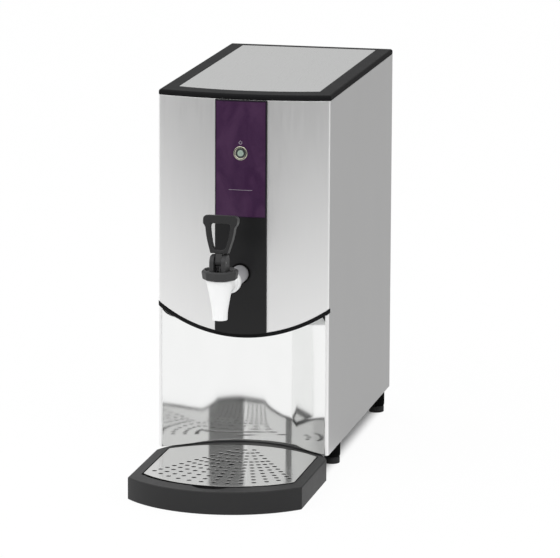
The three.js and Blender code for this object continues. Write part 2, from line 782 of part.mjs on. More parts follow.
function displayBoard() {
  const switchFront = buttonBack + BUTTON_TRAVEL + GAP;
  const face = switchFront + SWITCH_DEPTH;
  const low = buttonHeight - DISPLAY_RISE;
  const high = buttonHeight + DISPLAY_RISE;
  const [insetX, insetZ] = POST_INSET;
  const postX = DISPLAY_HALF - insetX;
  const post = (x, z) => barY(DISPLAY_POST, x, z, frontAt(x, SHEET) + 2 * GAP, face + 0.5, 10);
  const posts = [-postX, postX].flatMap((x) => [low + insetZ, high - insetZ].map((z) => post(x, z)));
  const [switchLow, switchHigh] = [buttonHeight - SWITCH_HALF, buttonHeight + SWITCH_HALF];
  return joined([
    block(-DISPLAY_HALF, DISPLAY_HALF, face, face + BOARD_THICK, low, high),
    block(-SWITCH_HALF, SWITCH_HALF, switchFront, face + 0.5, switchLow, switchHigh),
    ...posts,
  ]);
}

// ---- Feet ---------------------------------------------------------------

function footSleeve() {
  const low = FOOT_PAD + GAP;
  const bore = FOOT_STUD + SLIDE_GAP;
  const boreTop = FOOT_HEIGHT - GAP - FOOT_TOP_WALL;
  return turned([
    [bore, low],
    [FOOT_RADIUS - 0.6, low],
    [FOOT_RADIUS, low + 0.6],
    [FOOT_RADIUS, FOOT_HEIGHT - GAP],
    [0, FOOT_HEIGHT - GAP],
    [0, boreTop],
    [bore, boreTop],
  ], 12);
}

function footBase() {
  return turned([
    [0, 0],
    [FOOT_PAD_RADIUS - 0.8, 0],
    [FOOT_PAD_RADIUS, 0.8],
    [FOOT_PAD_RADIUS, FOOT_PAD],
    [FOOT_STUD, FOOT_PAD],
    [FOOT_STUD, FOOT_PAD + FOOT_STUD_LENGTH],
    [0, FOOT_PAD + FOOT_STUD_LENGTH],
  ], 12);
}

// ---- Tap (about its own axis: x = 0, y = 0 is the spout's centre) --------

const pivotY = -LEVER_ARM;

function tapBody() {
  const outer = turned([
    [0, SPOUT_TIP],
    [SPOUT_TIP_RADIUS, SPOUT_TIP],
    ...SPOUT_SWELL.map(([radius, rise]) => [radius, SPOUT_TIP + rise]),
    [BODY_TOP_RADIUS, bodyTop],
    [BODY_NECK_RADIUS, bodyTop],
    [BODY_NECK_RADIUS, neckTop],
    [0, neckTop],
  ]);
  const barrel = barY(BARREL_RADIUS, 0, tapAxis, 2, BARREL_LENGTH);
  const collar = barY(COLLAR_RADIUS, 0, tapAxis, BARREL_LENGTH - COLLAR_LENGTH, BARREL_LENGTH);
  const outlet = turned([
    [0, SPOUT_TIP - 1],
    [SPOUT_TIP_RADIUS - SPOUT_WALL, SPOUT_TIP - 1],
    [SPOUT_TIP_RADIUS - SPOUT_WALL, seatHeight],
    [0, seatHeight],
  ]);
  const chamber = turned([
    [0, seatTop],
    [CUP_RADIUS + 1.4, seatTop],
    [BODY_NECK_RADIUS - SPOUT_WALL, neckTop - BODY_NECK],
    [BODY_NECK_RADIUS - SPOUT_WALL, neckTop + 1],
    [0, neckTop + 1],
  ]);
  return without(joined([outer, barrel, collar]), [
    outlet,
    chamber,
    rod(SEAT_RADIUS, seatHeight - 1, seatTop + 1),
    barY(BARREL_BORE, 0, tapAxis, 2, BARREL_LENGTH + 1, 20),
  ]);
}

const dishFloor = bonnetTop - BONNET_DISH;

function yokeCheek(x0, x1) {
  const outline = [
    V2(pivotY - YOKE_ROUND, dishFloor - 1),
    V2(YOKE_ROUND, dishFloor - 1),
    ...arc(0, pivotHeight, YOKE_ROUND, 0, 90, 6),
    ...arc(pivotY, pivotHeight, YOKE_ROUND, 90, 180, 6),
  ];
  return profile(outline, x0, x1);
}

function tapBonnet() {
  const turn = 180 / BONNET_SIDES;
  const cap = turned(
    [
      [0, bonnetLow],
      [BONNET_RADIUS * 0.92, bonnetLow],
      [BONNET_RADIUS * 0.95, bonnetLow + 1.4],
      [BONNET_RADIUS, bonnetTop - 2],
      [BONNET_RADIUS - 1.4, bonnetTop],
      [0, bonnetTop],
    ],
    BONNET_SIDES,
  ).rotate([0, 0, turn]);
  const dish = turned([
    [0, dishFloor],
    [BONNET_RADIUS - 6.5, dishFloor],
    [BONNET_RADIUS - 3.8, bonnetTop + 0.1],
    [0, bonnetTop + 0.1],
  ]);
  const cheeks = yokeCheek(YOKE_SLOT_HALF, YOKE_HALF).add(yokeCheek(-YOKE_HALF, -YOKE_SLOT_HALF));
  return without(cap.subtract(dish).add(cheeks), [
    rod(BODY_NECK_RADIUS + GAP, bonnetLow - 1, neckTop + GAP, 32),
    rod(STEM_RADIUS + SLIDE_GAP, bonnetLow, bonnetTop, 16),
    barX(PIN_RADIUS + GAP, pivotY, pivotHeight, -YOKE_HALF - 1, YOKE_HALF + 1, 16),
  ]);
}

const handleMiddle = pivotY + HANDLE_SETBACK;

// An outline that is the same on both sides of the middle, from one side's pairs.
function mirroredOutline(side) {
  const right = side.map(([half, rise]) => V2(half, handleLow + rise));
  const left = right.map((point) => V2(-point.x, point.y)).reverse();
  return [...right, ...left];
}

function handleLoop() {
  const half = LOOP_SIDE.at(-1)[0];
  const shoulder = arc(half - HANDLE_CORNER, HANDLE_HEIGHT - HANDLE_CORNER, HANDLE_CORNER, 0, 90, 4);
  const side = [...LOOP_SIDE, ...shoulder.map((point) => point.toArray())];
  const shape = new THREE.Shape(mirroredOutline(side));
  shape.holes = [new THREE.Path(mirroredOutline(WINDOW_SIDE))];
  const loop = new THREE.ExtrudeGeometry(shape, {
    depth: HANDLE_DEPTH - 2 * HANDLE_ROUND,
    bevelEnabled: true,
    bevelSize: HANDLE_ROUND,
    bevelOffset: -HANDLE_ROUND,
    bevelThickness: HANDLE_ROUND,
    bevelSegments: 2,
  });
  loop.rotateX(Math.PI / 2).translate(0, HANDLE_DEPTH / 2 - HANDLE_ROUND, -handleLow);
  loop.rotateX(-rad(HANDLE_LEAN)).translate(0, handleMiddle, handleLow);
  return solid(loop);
}

function tapLever() {
  const half = YOKE_SLOT_HALF - SLIDE_GAP;
  const round = CROSS_PIN_RADIUS + FORK_RIM;
  const stretch = LEVER_ARM / Math.cos(rad(LEVER_ANGLE)) - LEVER_ARM;
  const rear = stretch + 0.3;
  const fork = profile(
    [
      V2(handleMiddle - HANDLE_DEPTH / 2 + 1.6, handleLow + 2),
      ...arc(pivotY, pivotHeight, round, 160, 270, 6),
      ...arc(rear, pivotHeight, round, 270, 360, 5),
      V2(handleMiddle + HANDLE_DEPTH / 2 - 1.6, handleLow + 2),
    ],
    -half,
    half,
  );
  const slotHalf = half - FORK_PRONG;
  const slotFront = pivotY + PIN_RADIUS + FORK_NOSE;
  const pinSlot = CROSS_PIN_RADIUS + SLIDE_GAP;
  const crossSlot = profile(
    [
      ...arc(-0.2, pivotHeight, pinSlot, 90, 270, 8),
      ...arc(rear - 0.1, pivotHeight, pinSlot, 270, 450, 8),
    ],
    -half - 1,
    half + 1,
  );
  const [slotRear, slotLow] = [rear + round + 1, pivotHeight - round - 1];
  return without(handleLoop().add(fork), [
    block(-slotHalf, slotHalf, slotFront, slotRear, slotLow, handleLow - FORK_BRIDGE),
    barX(PIN_RADIUS + GAP, pivotY, pivotHeight, -half - 1, half + 1, 16),
    crossSlot,
  ]);
}

const leverPin = () => barX(PIN_RADIUS, pivotY, pivotHeight, -YOKE_HALF + 0.2, YOKE_HALF - 0.2, 16);

const cupLow = seatTop + GAP;
const cupTop = cupLow + CUP_HEIGHT;
const cupBore = STEM_RADIUS + GAP;
const stemLow = cupLow + 2.4;

function tapStem() {
  const half = YOKE_SLOT_HALF - SLIDE_GAP - 0.5;
  return rod(STEM_RADIUS, stemLow, pivotHeight + CROSS_PIN_RADIUS + 0.6, 12).add(
    barX(CROSS_PIN_RADIUS, 0, pivotHeight, -half, half, 12),
  );
}

function seatCup() {
  return turned(
    [
      [0, cupLow],
      [CUP_RADIUS - 1, cupLow],
      [CUP_RADIUS, cupLow + 1.2],
      [CUP_RADIUS, cupLow + 4],
      [cupBore + 1.6, cupTop],
      [cupBore, cupTop],
      [cupBore, stemLow - GAP],
      [0, stemLow - GAP],
    ],
    24,
  );
}

const springLow = cupTop + GAP + SPRING_WIRE;
const springHigh = neckTop - SPRING_WIRE;

function tapSpring() {
  const perTurn = 8;
  const count = SPRING_TURNS * perTurn;
  const route = [];
  for (let i = 0; i <= count; i += 1) {
    const angle = (2 * Math.PI * i) / perTurn;
    const z = springLow + ((springHigh - springLow) * i) / count;
    route.push(V3(SPRING_RADIUS * Math.cos(angle), SPRING_RADIUS * Math.sin(angle), z));
  }
  return tube(SPRING_WIRE, route, count, 5);
}

// ---- Shank, from the tap's collar into the case --------------------------

const shankFront = tapY + BARREL_LENGTH + GAP;
const shankShoulder = frontY + SHEET + SHANK_INSIDE;
const shankEnd = shankShoulder + SHANK_TAIL;

function tapShank() {
  return without(
    joined([
      barY(SHANK_RADIUS, 0, tapAxis, shankFront, shankShoulder),
      barY(SHANK_TAIL_RADIUS, 0, tapAxis, shankShoulder - 1, shankEnd),
    ]),
    [barY(SHANK_BORE, 0, tapAxis, shankFront - 1, shankEnd + 1, 20)],
  );
}

function shankWasher() {
  const back = fasciaFace - GAP;
  const washer = ring(shankHole, shankHole + WASHER_WIDTH, back - WASHER_THICK, back);
  return alongY(washer).translate([0, 0, tapAxis]);
}

function shankNut() {
  const corner = SHANK_NUT_ACROSS / Math.sqrt(3);
  const front = frontAt(corner, SHEET) + GAP;
  const nut = hexagon(SHANK_NUT_ACROSS, front, front + SHANK_NUT);
  const bored = nut.subtract(rod(shankHole, front - 1, front + SHANK_NUT + 1));
  return alongY(bored).translate([0, 0, tapAxis]);
}

const tankFront = tankCentre - tankRadius;
const hoseOuter = SHANK_TAIL_RADIUS + GAP + HOSE_WALL;

function outletHose() {
  const hose = ring(SHANK_TAIL_RADIUS + GAP, hoseOuter, shankShoulder + GAP, tankFront - 0.8);
  return alongY(hose).translate([0, 0, tapAxis]);
}

// ---- Drip tray ----------------------------------------------------------

// A plan with straight sides and a bowed front and back, drawn in by an inset.
// frontEnd and backEnd are where the bows begin, front and back where they peak.
function bowedOutline(half, front, frontEnd, backEnd, back, inset) {
  const bow = (peak, end) => {
    const rise = Math.abs(peak - end);
    return (half ** 2 + rise ** 2) / (2 * rise);
  };
  const frontBow = bow(front, frontEnd);
  const backBow = bow(back, backEnd);
  const inner = half - inset;
  const a = THREE.MathUtils.radToDeg(Math.asin(inner / (frontBow - inset)));
  const b = THREE.MathUtils.radToDeg(Math.asin(inner / (backBow - inset)));
  return [
    ...arc(0, front + frontBow, frontBow - inset, 270 - a, 270 + a, 20),
    ...arc(0, back - backBow, backBow - inset, 90 - b, 90 + b, 20),
  ];
}

const trayHalf = caseHalf;

const trayOutline = (inset) =>
  bowedOutline(trayHalf, -TRAY_FRONT, -TRAY_FRONT_SIDE, -TRAY_BACK_SIDE, TRAY_BACK, inset);

const grilleInset = TRAY_RIM;
const pocketFloor = TRAY_HEIGHT - GRILLE_SHEET - GAP;
const grilleLow = TRAY_HEIGHT - GRILLE_SHEET;

function grilleOutline(grow) {
  return bowedOutline(
    trayHalf - grilleInset + grow,
    -TRAY_FRONT + GRILLE_FRONT_RIM - grow,
    -TRAY_FRONT_SIDE + GRILLE_FRONT_CORNER - grow * 0.6,
    -TRAY_BACK_SIDE + GRILLE_BACK_CORNER + grow * 0.6,
    TRAY_BACK - GRILLE_BACK_RIM + grow,
    0,
  );
}

function dripTray() {
  const rimLow = TRAY_HEIGHT - TRAY_RIM_THICK;
  const half = NOTCH_WIDTH / 2;
  const notchFront = -TRAY_FRONT + GRILLE_FRONT_RIM - NOTCH_DEPTH;
  const notchRise = NOTCH_DEPTH + 3;
  const notchRadius = (half ** 2 + notchRise ** 2) / (2 * notchRise);
  const reach = THREE.MathUtils.radToDeg(Math.asin(half / notchRadius));
  const notch = arc(0, notchFront + notchRadius, notchRadius, 270 - reach, 270 + reach, 12);
  return without(plate(trayOutline(0), 0, TRAY_HEIGHT), [
    plate(trayOutline(TRAY_WALL), TRAY_FLOOR, rimLow),
    plate(grilleOutline(-GRILLE_LEDGE), rimLow - 1, TRAY_HEIGHT + 1),
    plate(grilleOutline(SLIDE_GAP), pocketFloor, TRAY_HEIGHT + 1),
    plate(notch, TRAY_HEIGHT - TRAY_RIM_THICK + 1.6, TRAY_HEIGHT + 1),
  ]);
}

// Centres of the grille's small holes: rings on lines that fan out from behind.
// The outer rings bend to follow the grille's front edge, and near the origin
// every second, third or sixth line is kept, so that holes never run together.
function fanHoles() {
  const front = -TRAY_FRONT + GRILLE_FRONT_RIM + HOLE_MARGIN;
  const half = trayHalf - grilleInset;
  const rise = TRAY_FRONT - GRILLE_FRONT_RIM - (TRAY_FRONT_SIDE - GRILLE_FRONT_CORNER);
  const bow = (half ** 2 + rise ** 2) / (2 * rise) - HOLE_MARGIN;
  const bowCentre = front + bow;
  const longest = FAN_ORIGIN - front;
  const holes = [];
  for (let distance = longest; distance > RING_STEP; distance -= RING_STEP) {
    const spacing = distance * rad(FAN_STEP);
    const every = [1, 2, 3, 6].find((step) => spacing * step >= HOLE_SPACING) ?? FAN_LINES;
    for (let line = -FAN_LINES; line <= FAN_LINES; line += 1) {
      if (line % every !== 0) continue;
      const angle = rad(line * FAN_STEP);
      const drop = FAN_ORIGIN - bowCentre;
      const end = drop * Math.cos(angle) + halfChord(bow, drop * Math.sin(angle));
      const bend = 1 + (end / longest - 1) * (distance / longest) ** 2;
      const reach = distance * bend;
      holes.push([reach * Math.sin(angle), FAN_ORIGIN - reach * Math.cos(angle)]);
    }
  }
  return holes;
}

function dripGrille() {
  const punch = (radius, sides) => rod(radius, grilleLow - 1, TRAY_HEIGHT + 1, sides);
  const small = punch(HOLE_RADIUS, 4);
  const large = punch(DRAIN_HOLE_RADIUS, 12);
  const clear = ([x, y]) =>
    DRAIN_HOLES.every((drain) => Math.hypot(x, y - drain) > DRAIN_HOLE_RADIUS + HOLE_RADIUS + 1.5);
  return without(plate(grilleOutline(0), grilleLow, TRAY_HEIGHT), [
    ...fanHoles().filter(clear).map(([x, y]) => small.translate([x, y, 0])),
    ...DRAIN_HOLES.map((y) => large.translate([0, y, 0])),
  ]);
}

// ---- Tank (about its own axis) -------------------------------------------

const flangeRadius = tankRadius + TANK_FLANGE;
const tankInner = tankRadius - TANK_WALL;
const flangeTop = tankTop + FLANGE_THICK;
const gasketLow = flangeTop + GAP;
const gasketTop = gasketLow + GASKET_THICK;
const tankLidLow = gasketTop + GAP;
const tankLidTop = tankLidLow + LID_THICK;
const ventSide = tankRadius - VENT_FROM_WALL;

function tank() {
  const shell = turned(
    [
      [0, tankBottom],
      [tankRadius - 3, tankBottom],
      [tankRadius, tankBottom + 3],
      [tankRadius, tankTop],
      [flangeRadius, tankTop],
      [flangeRadius, flangeTop],
      [0, flangeTop],
    ],
    TANK_SIDES,
  );
  const inside = turned(
    [
      [0, tankBottom + TANK_WALL],
      [tankInner - 3, tankBottom + TANK_WALL],
      [tankInner, tankBottom + TANK_WALL + 3],
      [tankInner, flangeTop + 1],
      [0, flangeTop + 1],
    ],
    TANK_SIDES,
  );
  const outlet = barY(SHANK_TAIL_RADIUS, 0, tapAxis, -tankRadius - SPIGOT_LENGTH, -tankInner - 0.2);
  const filler = rod(HOSE_SPIGOT, tankBottom - SPIGOT_DROP, tankBottom + 1, 12).translate([inletX, 0, 0]);
  const shellWithSpigots = joined([shell.subtract(inside), outlet, filler]);
  return without(shellWithSpigots, [
    barY(SHANK_BORE, 0, tapAxis, -tankRadius - SPIGOT_LENGTH - 1, -tankInner + 8, 20),
    rod(HOSE_SPIGOT - 1.2, tankBottom - SPIGOT_DROP - 1, tankBottom + 6, 12).translate([inletX, 0, 0]),
    rod(ELEMENT_NECK + GAP, tankBottom - 1, tankBottom + 6),
  ]);
}

const tankGasket = () => ring(tankInner, flangeRadius, gasketLow, gasketTop, TANK_SIDES);

function tankLid() {
  const hole = (radius, x, y) => rod(radius + GAP, tankLidLow - 1, tankLidTop + 1, 16).translate([x, y, 0]);
  return without(rod(flangeRadius, tankLidLow, tankLidTop, TANK_SIDES), [
    hole(PROBE_RADIUS, 0, 0),
    hole(PROBE_RADIUS, PROBE_SIDE, 0),
    hole(PROBE_RADIUS, -PROBE_SIDE, 0),
    hole(VENT_BORE - GAP, 0, ventSide),
  ]);
}

// A split band that clamps the lid, the gasket and the tank's flange together.
function clampBand() {
  const inner = flangeRadius + GAP;
  const low = tankTop - GAP;
  const high = tankLidTop + GAP;
  const band = turned(
    [
      [inner, high],
      [inner, low],
      [inner - BAND_LIP, low],
      [inner - BAND_LIP, low - BAND_SHEET],
      [inner + BAND_SHEET, low - BAND_SHEET],
      [inner + BAND_SHEET, high + BAND_SHEET],
      [inner - BAND_LIP, high + BAND_SHEET],
      [inner - BAND_LIP, high],
    ],
    TANK_SIDES,
  );
  const split = block(-3, 3, flangeRadius - BAND_LIP - 4, inner + 20, low - 4, high + 4);
  const ear = (x) => block(x, x + BAND_SHEET, inner, inner + 12, low, high);
  const bolt = barX(2, inner + 7, (low + high) / 2, -9, 9, 10);
  return joined([band.subtract(split), ear(-3 - BAND_SHEET), ear(3), bolt]).rotate([0, 0, BAND_TURN]);
}

function insulationJacket() {
  const inner = tankRadius + GAP;
  const top = tankTop - 2 * GAP - BAND_SHEET;
  const sleeve = ring(inner, inner + JACKET_THICK, tankBottom + 2, top, TANK_SIDES);
  const outletHole = barY(hoseOuter + GAP, 0, tapAxis, -tankRadius - JACKET_THICK - 2, -tankRadius + 4);
  return sleeve.subtract(outletHole);
}

const standTop = tankBottom - GAP;
const elementHole = ELEMENT_FLANGE + GAP * 2;

function tankStand() {
  const low = FOOT_HEIGHT + SHEET + GAP;
  const legTop = standTop - STAND_SHEET + 0.5;
  const front = -STAND_LEG_AHEAD;
  const back = STAND_LEG_BEHIND;
  const leg = (side) => {
    const outer = side * standHalf;
    const inner = side * (standHalf - STAND_SHEET);
    const toe = side * (standHalf - STAND_FLANGE);
    const span = (a, b) => [Math.min(a, b), Math.max(a, b)];
    return block(...span(outer, inner), front, back, low, legTop).add(
      block(...span(outer, toe), front, back, low, low + STAND_SHEET),
    );
  };
  const shelf = block(-standHalf, standHalf, -tankRadius + 6, back, standTop - STAND_SHEET, standTop);
  return without(joined([shelf, leg(-1), leg(1)]), [
    rod(elementHole, standTop - STAND_SHEET - 1, standTop + 1),
    rod(HOSE_RADIUS + 2, standTop - STAND_SHEET - 1, standTop + 1, 16).translate([inletX, 0, 0]),
  ]);
}

// ---- Heating and sensing (about the tank's axis) -------------------------

const neckHigh = tankBottom + TANK_WALL + ELEMENT_NUT + 3;

function heatingElement() {
  const legs = ELEMENT_LEGS;
  const ringZ = tankBottom + ELEMENT_RISE;
  const loop = [];
  for (let angle = -150; angle <= 150; angle += 30) {
    loop.push(V3(ELEMENT_LOOP * Math.sin(rad(angle)), -ELEMENT_LOOP * Math.cos(rad(angle)), ringZ));
  }
  const route = [
    V3(-legs, 0, neckHigh - 2),
    V3(-legs, 0, neckHigh + 8),
    V3(-legs - 2, 12, ringZ - 10),
    V3(-legs - 5, 30, ringZ - 2),
    ...loop,
    V3(legs + 5, 30, ringZ - 2),
    V3(legs + 2, 12, ringZ - 10),
    V3(legs, 0, neckHigh + 8),
    V3(legs, 0, neckHigh - 2),
  ];
  const flangeTopZ = tankBottom - GAP;
  const flangeLow = flangeTopZ - ELEMENT_FLANGE_THICK;
  const pin = rod(ELEMENT_PIN, flangeLow - ELEMENT_PIN_LENGTH, flangeLow + 1, 10);
  return joined([
    rod(ELEMENT_FLANGE, flangeLow, flangeTopZ, 32),
    rod(ELEMENT_NECK, flangeTopZ - 1, neckHigh, 24),
    ...[-legs, legs].map((x) => pin.translate([x, 0, 0])),
    tube(ELEMENT_TUBE, route, 36, 6),
  ]);
}

function elementNut() {
  const low = tankBottom + TANK_WALL + GAP;
  const nut = hexagon(ELEMENT_NUT_ACROSS, low, low + ELEMENT_NUT);
  return nut.subtract(rod(ELEMENT_NECK + GAP, low - 1, low + ELEMENT_NUT + 1));
}

// A probe that hangs through the tank's lid.
function lidProbe(radius, reach) {
  const seat = tankLidTop + GAP;
  const head = hexagon(PROBE_HEAD * 2, seat, seat + PROBE_HEAD_HEIGHT);
  return head.add(rod(radius, tankLidLow - reach, seat + 1, 16));
}

const levelProbe = (reach, x) => lidProbe(LEVEL_PROBE_RADIUS, reach).translate([x, 0, 0]);

const bushEnd = CASE_DEPTH + BUSH_PROUD;

function limitThermostat() {
  const [width, depth, height] = THERMOSTAT_SIZE;
  const x = THERMOSTAT_SIDE;
  const z = THERMOSTAT_HEIGHT;
  const front = panelFace - depth;
  const body = block(x - width / 2, x + width / 2, front, panelFace, z - height / 2, z + height / 2);
  const bush = barY(BUSH_RADIUS, x, z, panelFace - 1, bushEnd);
  const well = barY(RESET_RADIUS + SLIDE_GAP, x, z, panelFace - THERMOSTAT_WELL, bushEnd + 1, 16);
  return body.add(bush).subtract(well);
}

const resetFloor = panelFace - THERMOSTAT_WELL + GAP + RESET_TRAVEL;
const resetFront = bushEnd + RESET_TRAVEL + RESET_PROUD;

const resetButton = () =>
  barY(RESET_RADIUS, THERMOSTAT_SIDE, THERMOSTAT_HEIGHT, resetFloor, resetFront, 16);

// ---- Water inlet and vent -------------------------------------------------

const valveFront = panelFace - VALVE_LENGTH;
const valveBody = valveFront + VALVE_SPIGOT;

function inletValve() {
  const x = inletX;
  const z = INLET_HEIGHT;
  const rise = VALVE_HALF - 1;
  const body = joined([
    barY(INLET_RADIUS, x, z, panelFace - 6, CASE_DEPTH + INLET_PROUD),
    barY(INLET_RADIUS + VALVE_COLLAR, x, z, panelFace - 5, panelFace),
    block(x - VALVE_HALF, x + VALVE_HALF, valveBody, panelFace - 4, z - rise, z + rise),
    barY(HOSE_SPIGOT, x, z, valveFront, valveBody + 1, 12),
  ]);
  return body.subtract(barY(INLET_BORE, x, z, panelFace - 10, CASE_DEPTH + INLET_PROUD + 1));
}

function valveCoil() {
  const half = COIL_SIZE / 2;
  const low = INLET_HEIGHT + VALVE_HALF - 1 + GAP;
  const top = low + COIL_SIZE;
  const y = valveBody + half;
  const x = inletX;
  const [width, thick, height] = COIL_TAB;
  const coil = block(x - half, x + half, y - half, y + half, low, top);
  const tab = block(-width / 2, width / 2, y - thick / 2, y + thick / 2, top - 1, top + height);
  return joined([coil, ...[-COIL_TAB_SIDE, COIL_TAB_SIDE].map((dx) => tab.translate([x + dx, 0, 0]))]);
}

// A pipe or hose with an open bore.
function pipe(outer, bore, route, steps) {
  return tube(outer, route, steps, 8).subtract(tube(bore, route, steps, 6));
}

function fillHose() {
  const x = inletX;
  const z = INLET_HEIGHT;
  const top = tankBottom - 1.5;
  const y = tankCentre;
  const route = [
    V3(x, valveFront + 11, z),
    V3(x, valveFront - 3, z),
    V3(x, valveFront - 16, z),
    V3(x, valveFront - 50, z + 4),
    V3(x, y + 110, z + 10),
    V3(x, y + 70, z + 22),
    V3(x, y + 34, z + 48),
    V3(x, y + 10, z + 86),
    V3(x, y + 1, top - 34),
    V3(x, y, top - 18),
    V3(x, y, top),
  ];
  return pipe(HOSE_RADIUS, HOSE_BORE, route, 26);
}

function ventPipe() {
  const top = tankLidTop + 11;
  const y = tankCentre + ventSide;
  const behind = tankCentre + flangeRadius + VENT_RADIUS + 14;
  const route = [
    V3(0, y, tankLidTop + 2 * GAP),
    V3(0, y, tankLidTop + 5),
    V3(0, y + 4, top - 3),
    V3(0, y + 16, top),
    V3(0, behind - 14, top - 3),
    V3(0, behind, top - 22),
    V3(0, behind, top - 80),
    V3(0, behind, VENT_HEIGHT + 120),
    V3(0, behind, VENT_HEIGHT + 40),
    V3(0, behind + 14, VENT_HEIGHT + 8),
    V3(0, behind + 46, VENT_HEIGHT),
    V3(0, CASE_DEPTH - 20, VENT_HEIGHT),
    V3(0, CASE_DEPTH + VENT_PROUD, VENT_HEIGHT),
  ];
  return pipe(VENT_RADIUS, VENT_BORE, route, 30);
}

// ---- Electrical -----------------------------------------------------------

const bracketOuter = caseHalf - SHEET - GAP - BOARD_OFF_WALL;
const boardBack = boardFront + BOARD_LENGTH;
const boardSide = bracketOuter - BRACKET_SHEET - BOARD_OFF_WALL;

function boardBracket() {
  const low = FOOT_HEIGHT + SHEET + GAP;
  const high = BOARD_LOW + BOARD_HEIGHT + BRACKET_MARGIN;
  const front = boardFront - BRACKET_MARGIN;
  const back = boardBack + BRACKET_MARGIN;
  const inner = bracketOuter - BRACKET_SHEET;
  const wall = block(inner, bracketOuter, front, back, low, high);
  const toe = block(bracketOuter - BRACKET_TOE, bracketOuter, front, back, low, low + BRACKET_SHEET);
  const post = (y, z) => barX(BRACKET_POST, y, z, boardSide + GAP, inner + 0.5, 10);
  const inset = BRACKET_POST_INSET;
  const posts = [boardFront + inset, boardBack - inset].flatMap((y) =>
    [BOARD_LOW + inset, BOARD_LOW + BOARD_HEIGHT - inset].map((z) => post(y, z)),
  );
  return joined([wall, toe, ...posts]);
}

function controlBoard() {
  const face = boardSide - BOARD_THICK;
  const part = ([depth, y0, y1, z0, z1]) =>
    block(face - depth, face + 0.5, boardFront + y0, boardFront + y1, BOARD_LOW + z0, BOARD_LOW + z1);
  const [radius, length, along, up] = CAPACITOR;
  return joined([
    block(face, boardSide, boardFront, boardBack, BOARD_LOW, BOARD_LOW + BOARD_HEIGHT),
    ...BOARD_PARTS.map(part),
    barX(radius, boardFront + along, BOARD_LOW + up, face - length, face + 0.5, 14),
  ]);
}

function terminalBlock() {
  const [width, depth, height] = TERMINAL_SIZE;
  const low = FOOT_HEIGHT + SHEET + GAP;
  const x = boardSide - TERMINAL_FROM_BOARD;
  const y = CASE_DEPTH - TERMINAL_FROM_BACK;
  const body = block(x - width / 2, x + width / 2, y - depth / 2, y + depth / 2, low, low + height);
  const [pitchX, pitchY] = TERMINAL_PITCH;
  const [wellRadius, wellDepth] = TERMINAL_WELL;
  const well = rod(wellRadius, low + height - wellDepth, low + height + 1, 10);
  const wells = [-pitchX, 0, pitchX].flatMap((dx) =>
    [-pitchY, pitchY].map((dy) => well.translate([x + dx, y + dy, 0])),
  );
  return without(body, wells);
}

const glandOutside = CASE_DEPTH + GAP;

function cableGland() {
  const outline = [
    [GLAND_BORE, glandOutside + GLAND_PROUD],
    [GLAND_BORE, panelFace - GLAND_INSIDE],
    [GLAND_RADIUS, panelFace - GLAND_INSIDE],
    [GLAND_RADIUS, glandOutside],
    [GLAND_ACROSS / 2, glandOutside],
    [GLAND_ACROSS / 2, glandOutside + 6],
    [GLAND_RADIUS + 1.6, glandOutside + 6.4],
    [GLAND_RADIUS + 1.2, glandOutside + GLAND_PROUD - 3],
    [GLAND_RADIUS - 1, glandOutside + GLAND_PROUD],
  ];
  return alongY(turned(outline, 16)).translate([glandX, 0, GLAND_HEIGHT]);
}

function glandNut() {
  const front = panelFace - GLAND_NUT;
  const bore = rod(GLAND_RADIUS + GAP, front - 1, panelFace + 1);
  const nut = hexagon(GLAND_ACROSS, front, panelFace).subtract(bore);
  return alongY(nut).translate([glandX, 0, GLAND_HEIGHT]);
}

// ---- Assembly ------------------------------------------------------------

// The origin stands on the counter at the middle of the whole part's depth.
const rearMost = glandOutside + GLAND_PROUD;
const model = new THREE.Group();
model.position.set(0, (TRAY_FRONT - rearMost) / 2, 0);

function group(x, y, z) {
  const made = new THREE.Group();
  made.position.set(x, y, z);
  model.add(made);
  return made;
}

const body = group(0, 0, 0);
body.add(
  piece("case_wrap", caseWrap(), brushedSteel),
  piece("back_panel", backPanel(), brushedSteel),
  piece("base_plate", basePlate(), satinSteel),
  piece("splash_panel", splashPanel(), mirrorSteel),
  piece("smile_trim", archTrim(), blackMoulding),
  piece("top_frame", topFrame(), blackMoulding),
  piece("lid_plate", lidPlate(), brushedSteel),
  piece("fascia", fascia(), blackGloss),
  piece("fascia_overlay", fasciaOverlay(), purpleFilm),
  piece("button_bezel", buttonBezel(), chrome),
  piece("power_button", powerButton(), buttonPlastic),
  piece("button_lens", buttonLens(), lensPlastic),
  piece("display_board", displayBoard(), circuitGreen),
);

const sideNames = { "-1": "left", 1: "right" };
for (const side of footSides) {
  for (const [row, y] of Object.entries(footRows)) {
    const foot = group(side * (caseHalf - FOOT_SIDE), y, 0);
    const place = `${row}_${sideNames[side]}`;
    foot.add(piece(`foot_sleeve_${place}`, footSleeve(), blackRubber));
    foot.add(piece(`foot_base_${place}`, footBase(), blackMoulding));
  }
  screwHeights.forEach((z, i) => {
    const place = group(side * screwSide, CASE_DEPTH, z);
    const height = ["low", "high"][i];
    place.add(piece(`back_screw_${height}_${sideNames[side]}`, alongY(screw(SCREW_LENGTH)), satinSteel));
  });
}

const tap = group(0, tapY, 0);
tap.add(
  piece("tap_body", tapBody(), whitePlastic),
  piece("tap_bonnet", tapBonnet(), blackMoulding),
  piece("tap_lever", tapLever(), blackGloss),
  piece("lever_pin", leverPin(), satinSteel),
  piece("tap_stem", tapStem(), satinSteel),
  piece("seat_cup", seatCup(), clearSilicone),
  piece("tap_spring", tapSpring(), satinSteel),
);

const shank = group(0, 0, 0);
shank.add(
  piece("tap_shank", tapShank(), zinc),
  piece("shank_washer", shankWasher(), blackRubber),
  piece("shank_nut", shankNut(), brass),
  piece("outlet_hose", outletHose(), clearSilicone),
);

const tray = group(0, 0, 0);
tray.add(piece("drip_tray", dripTray(), blackMoulding), piece("drip_grille", dripGrille(), brushedSteel));

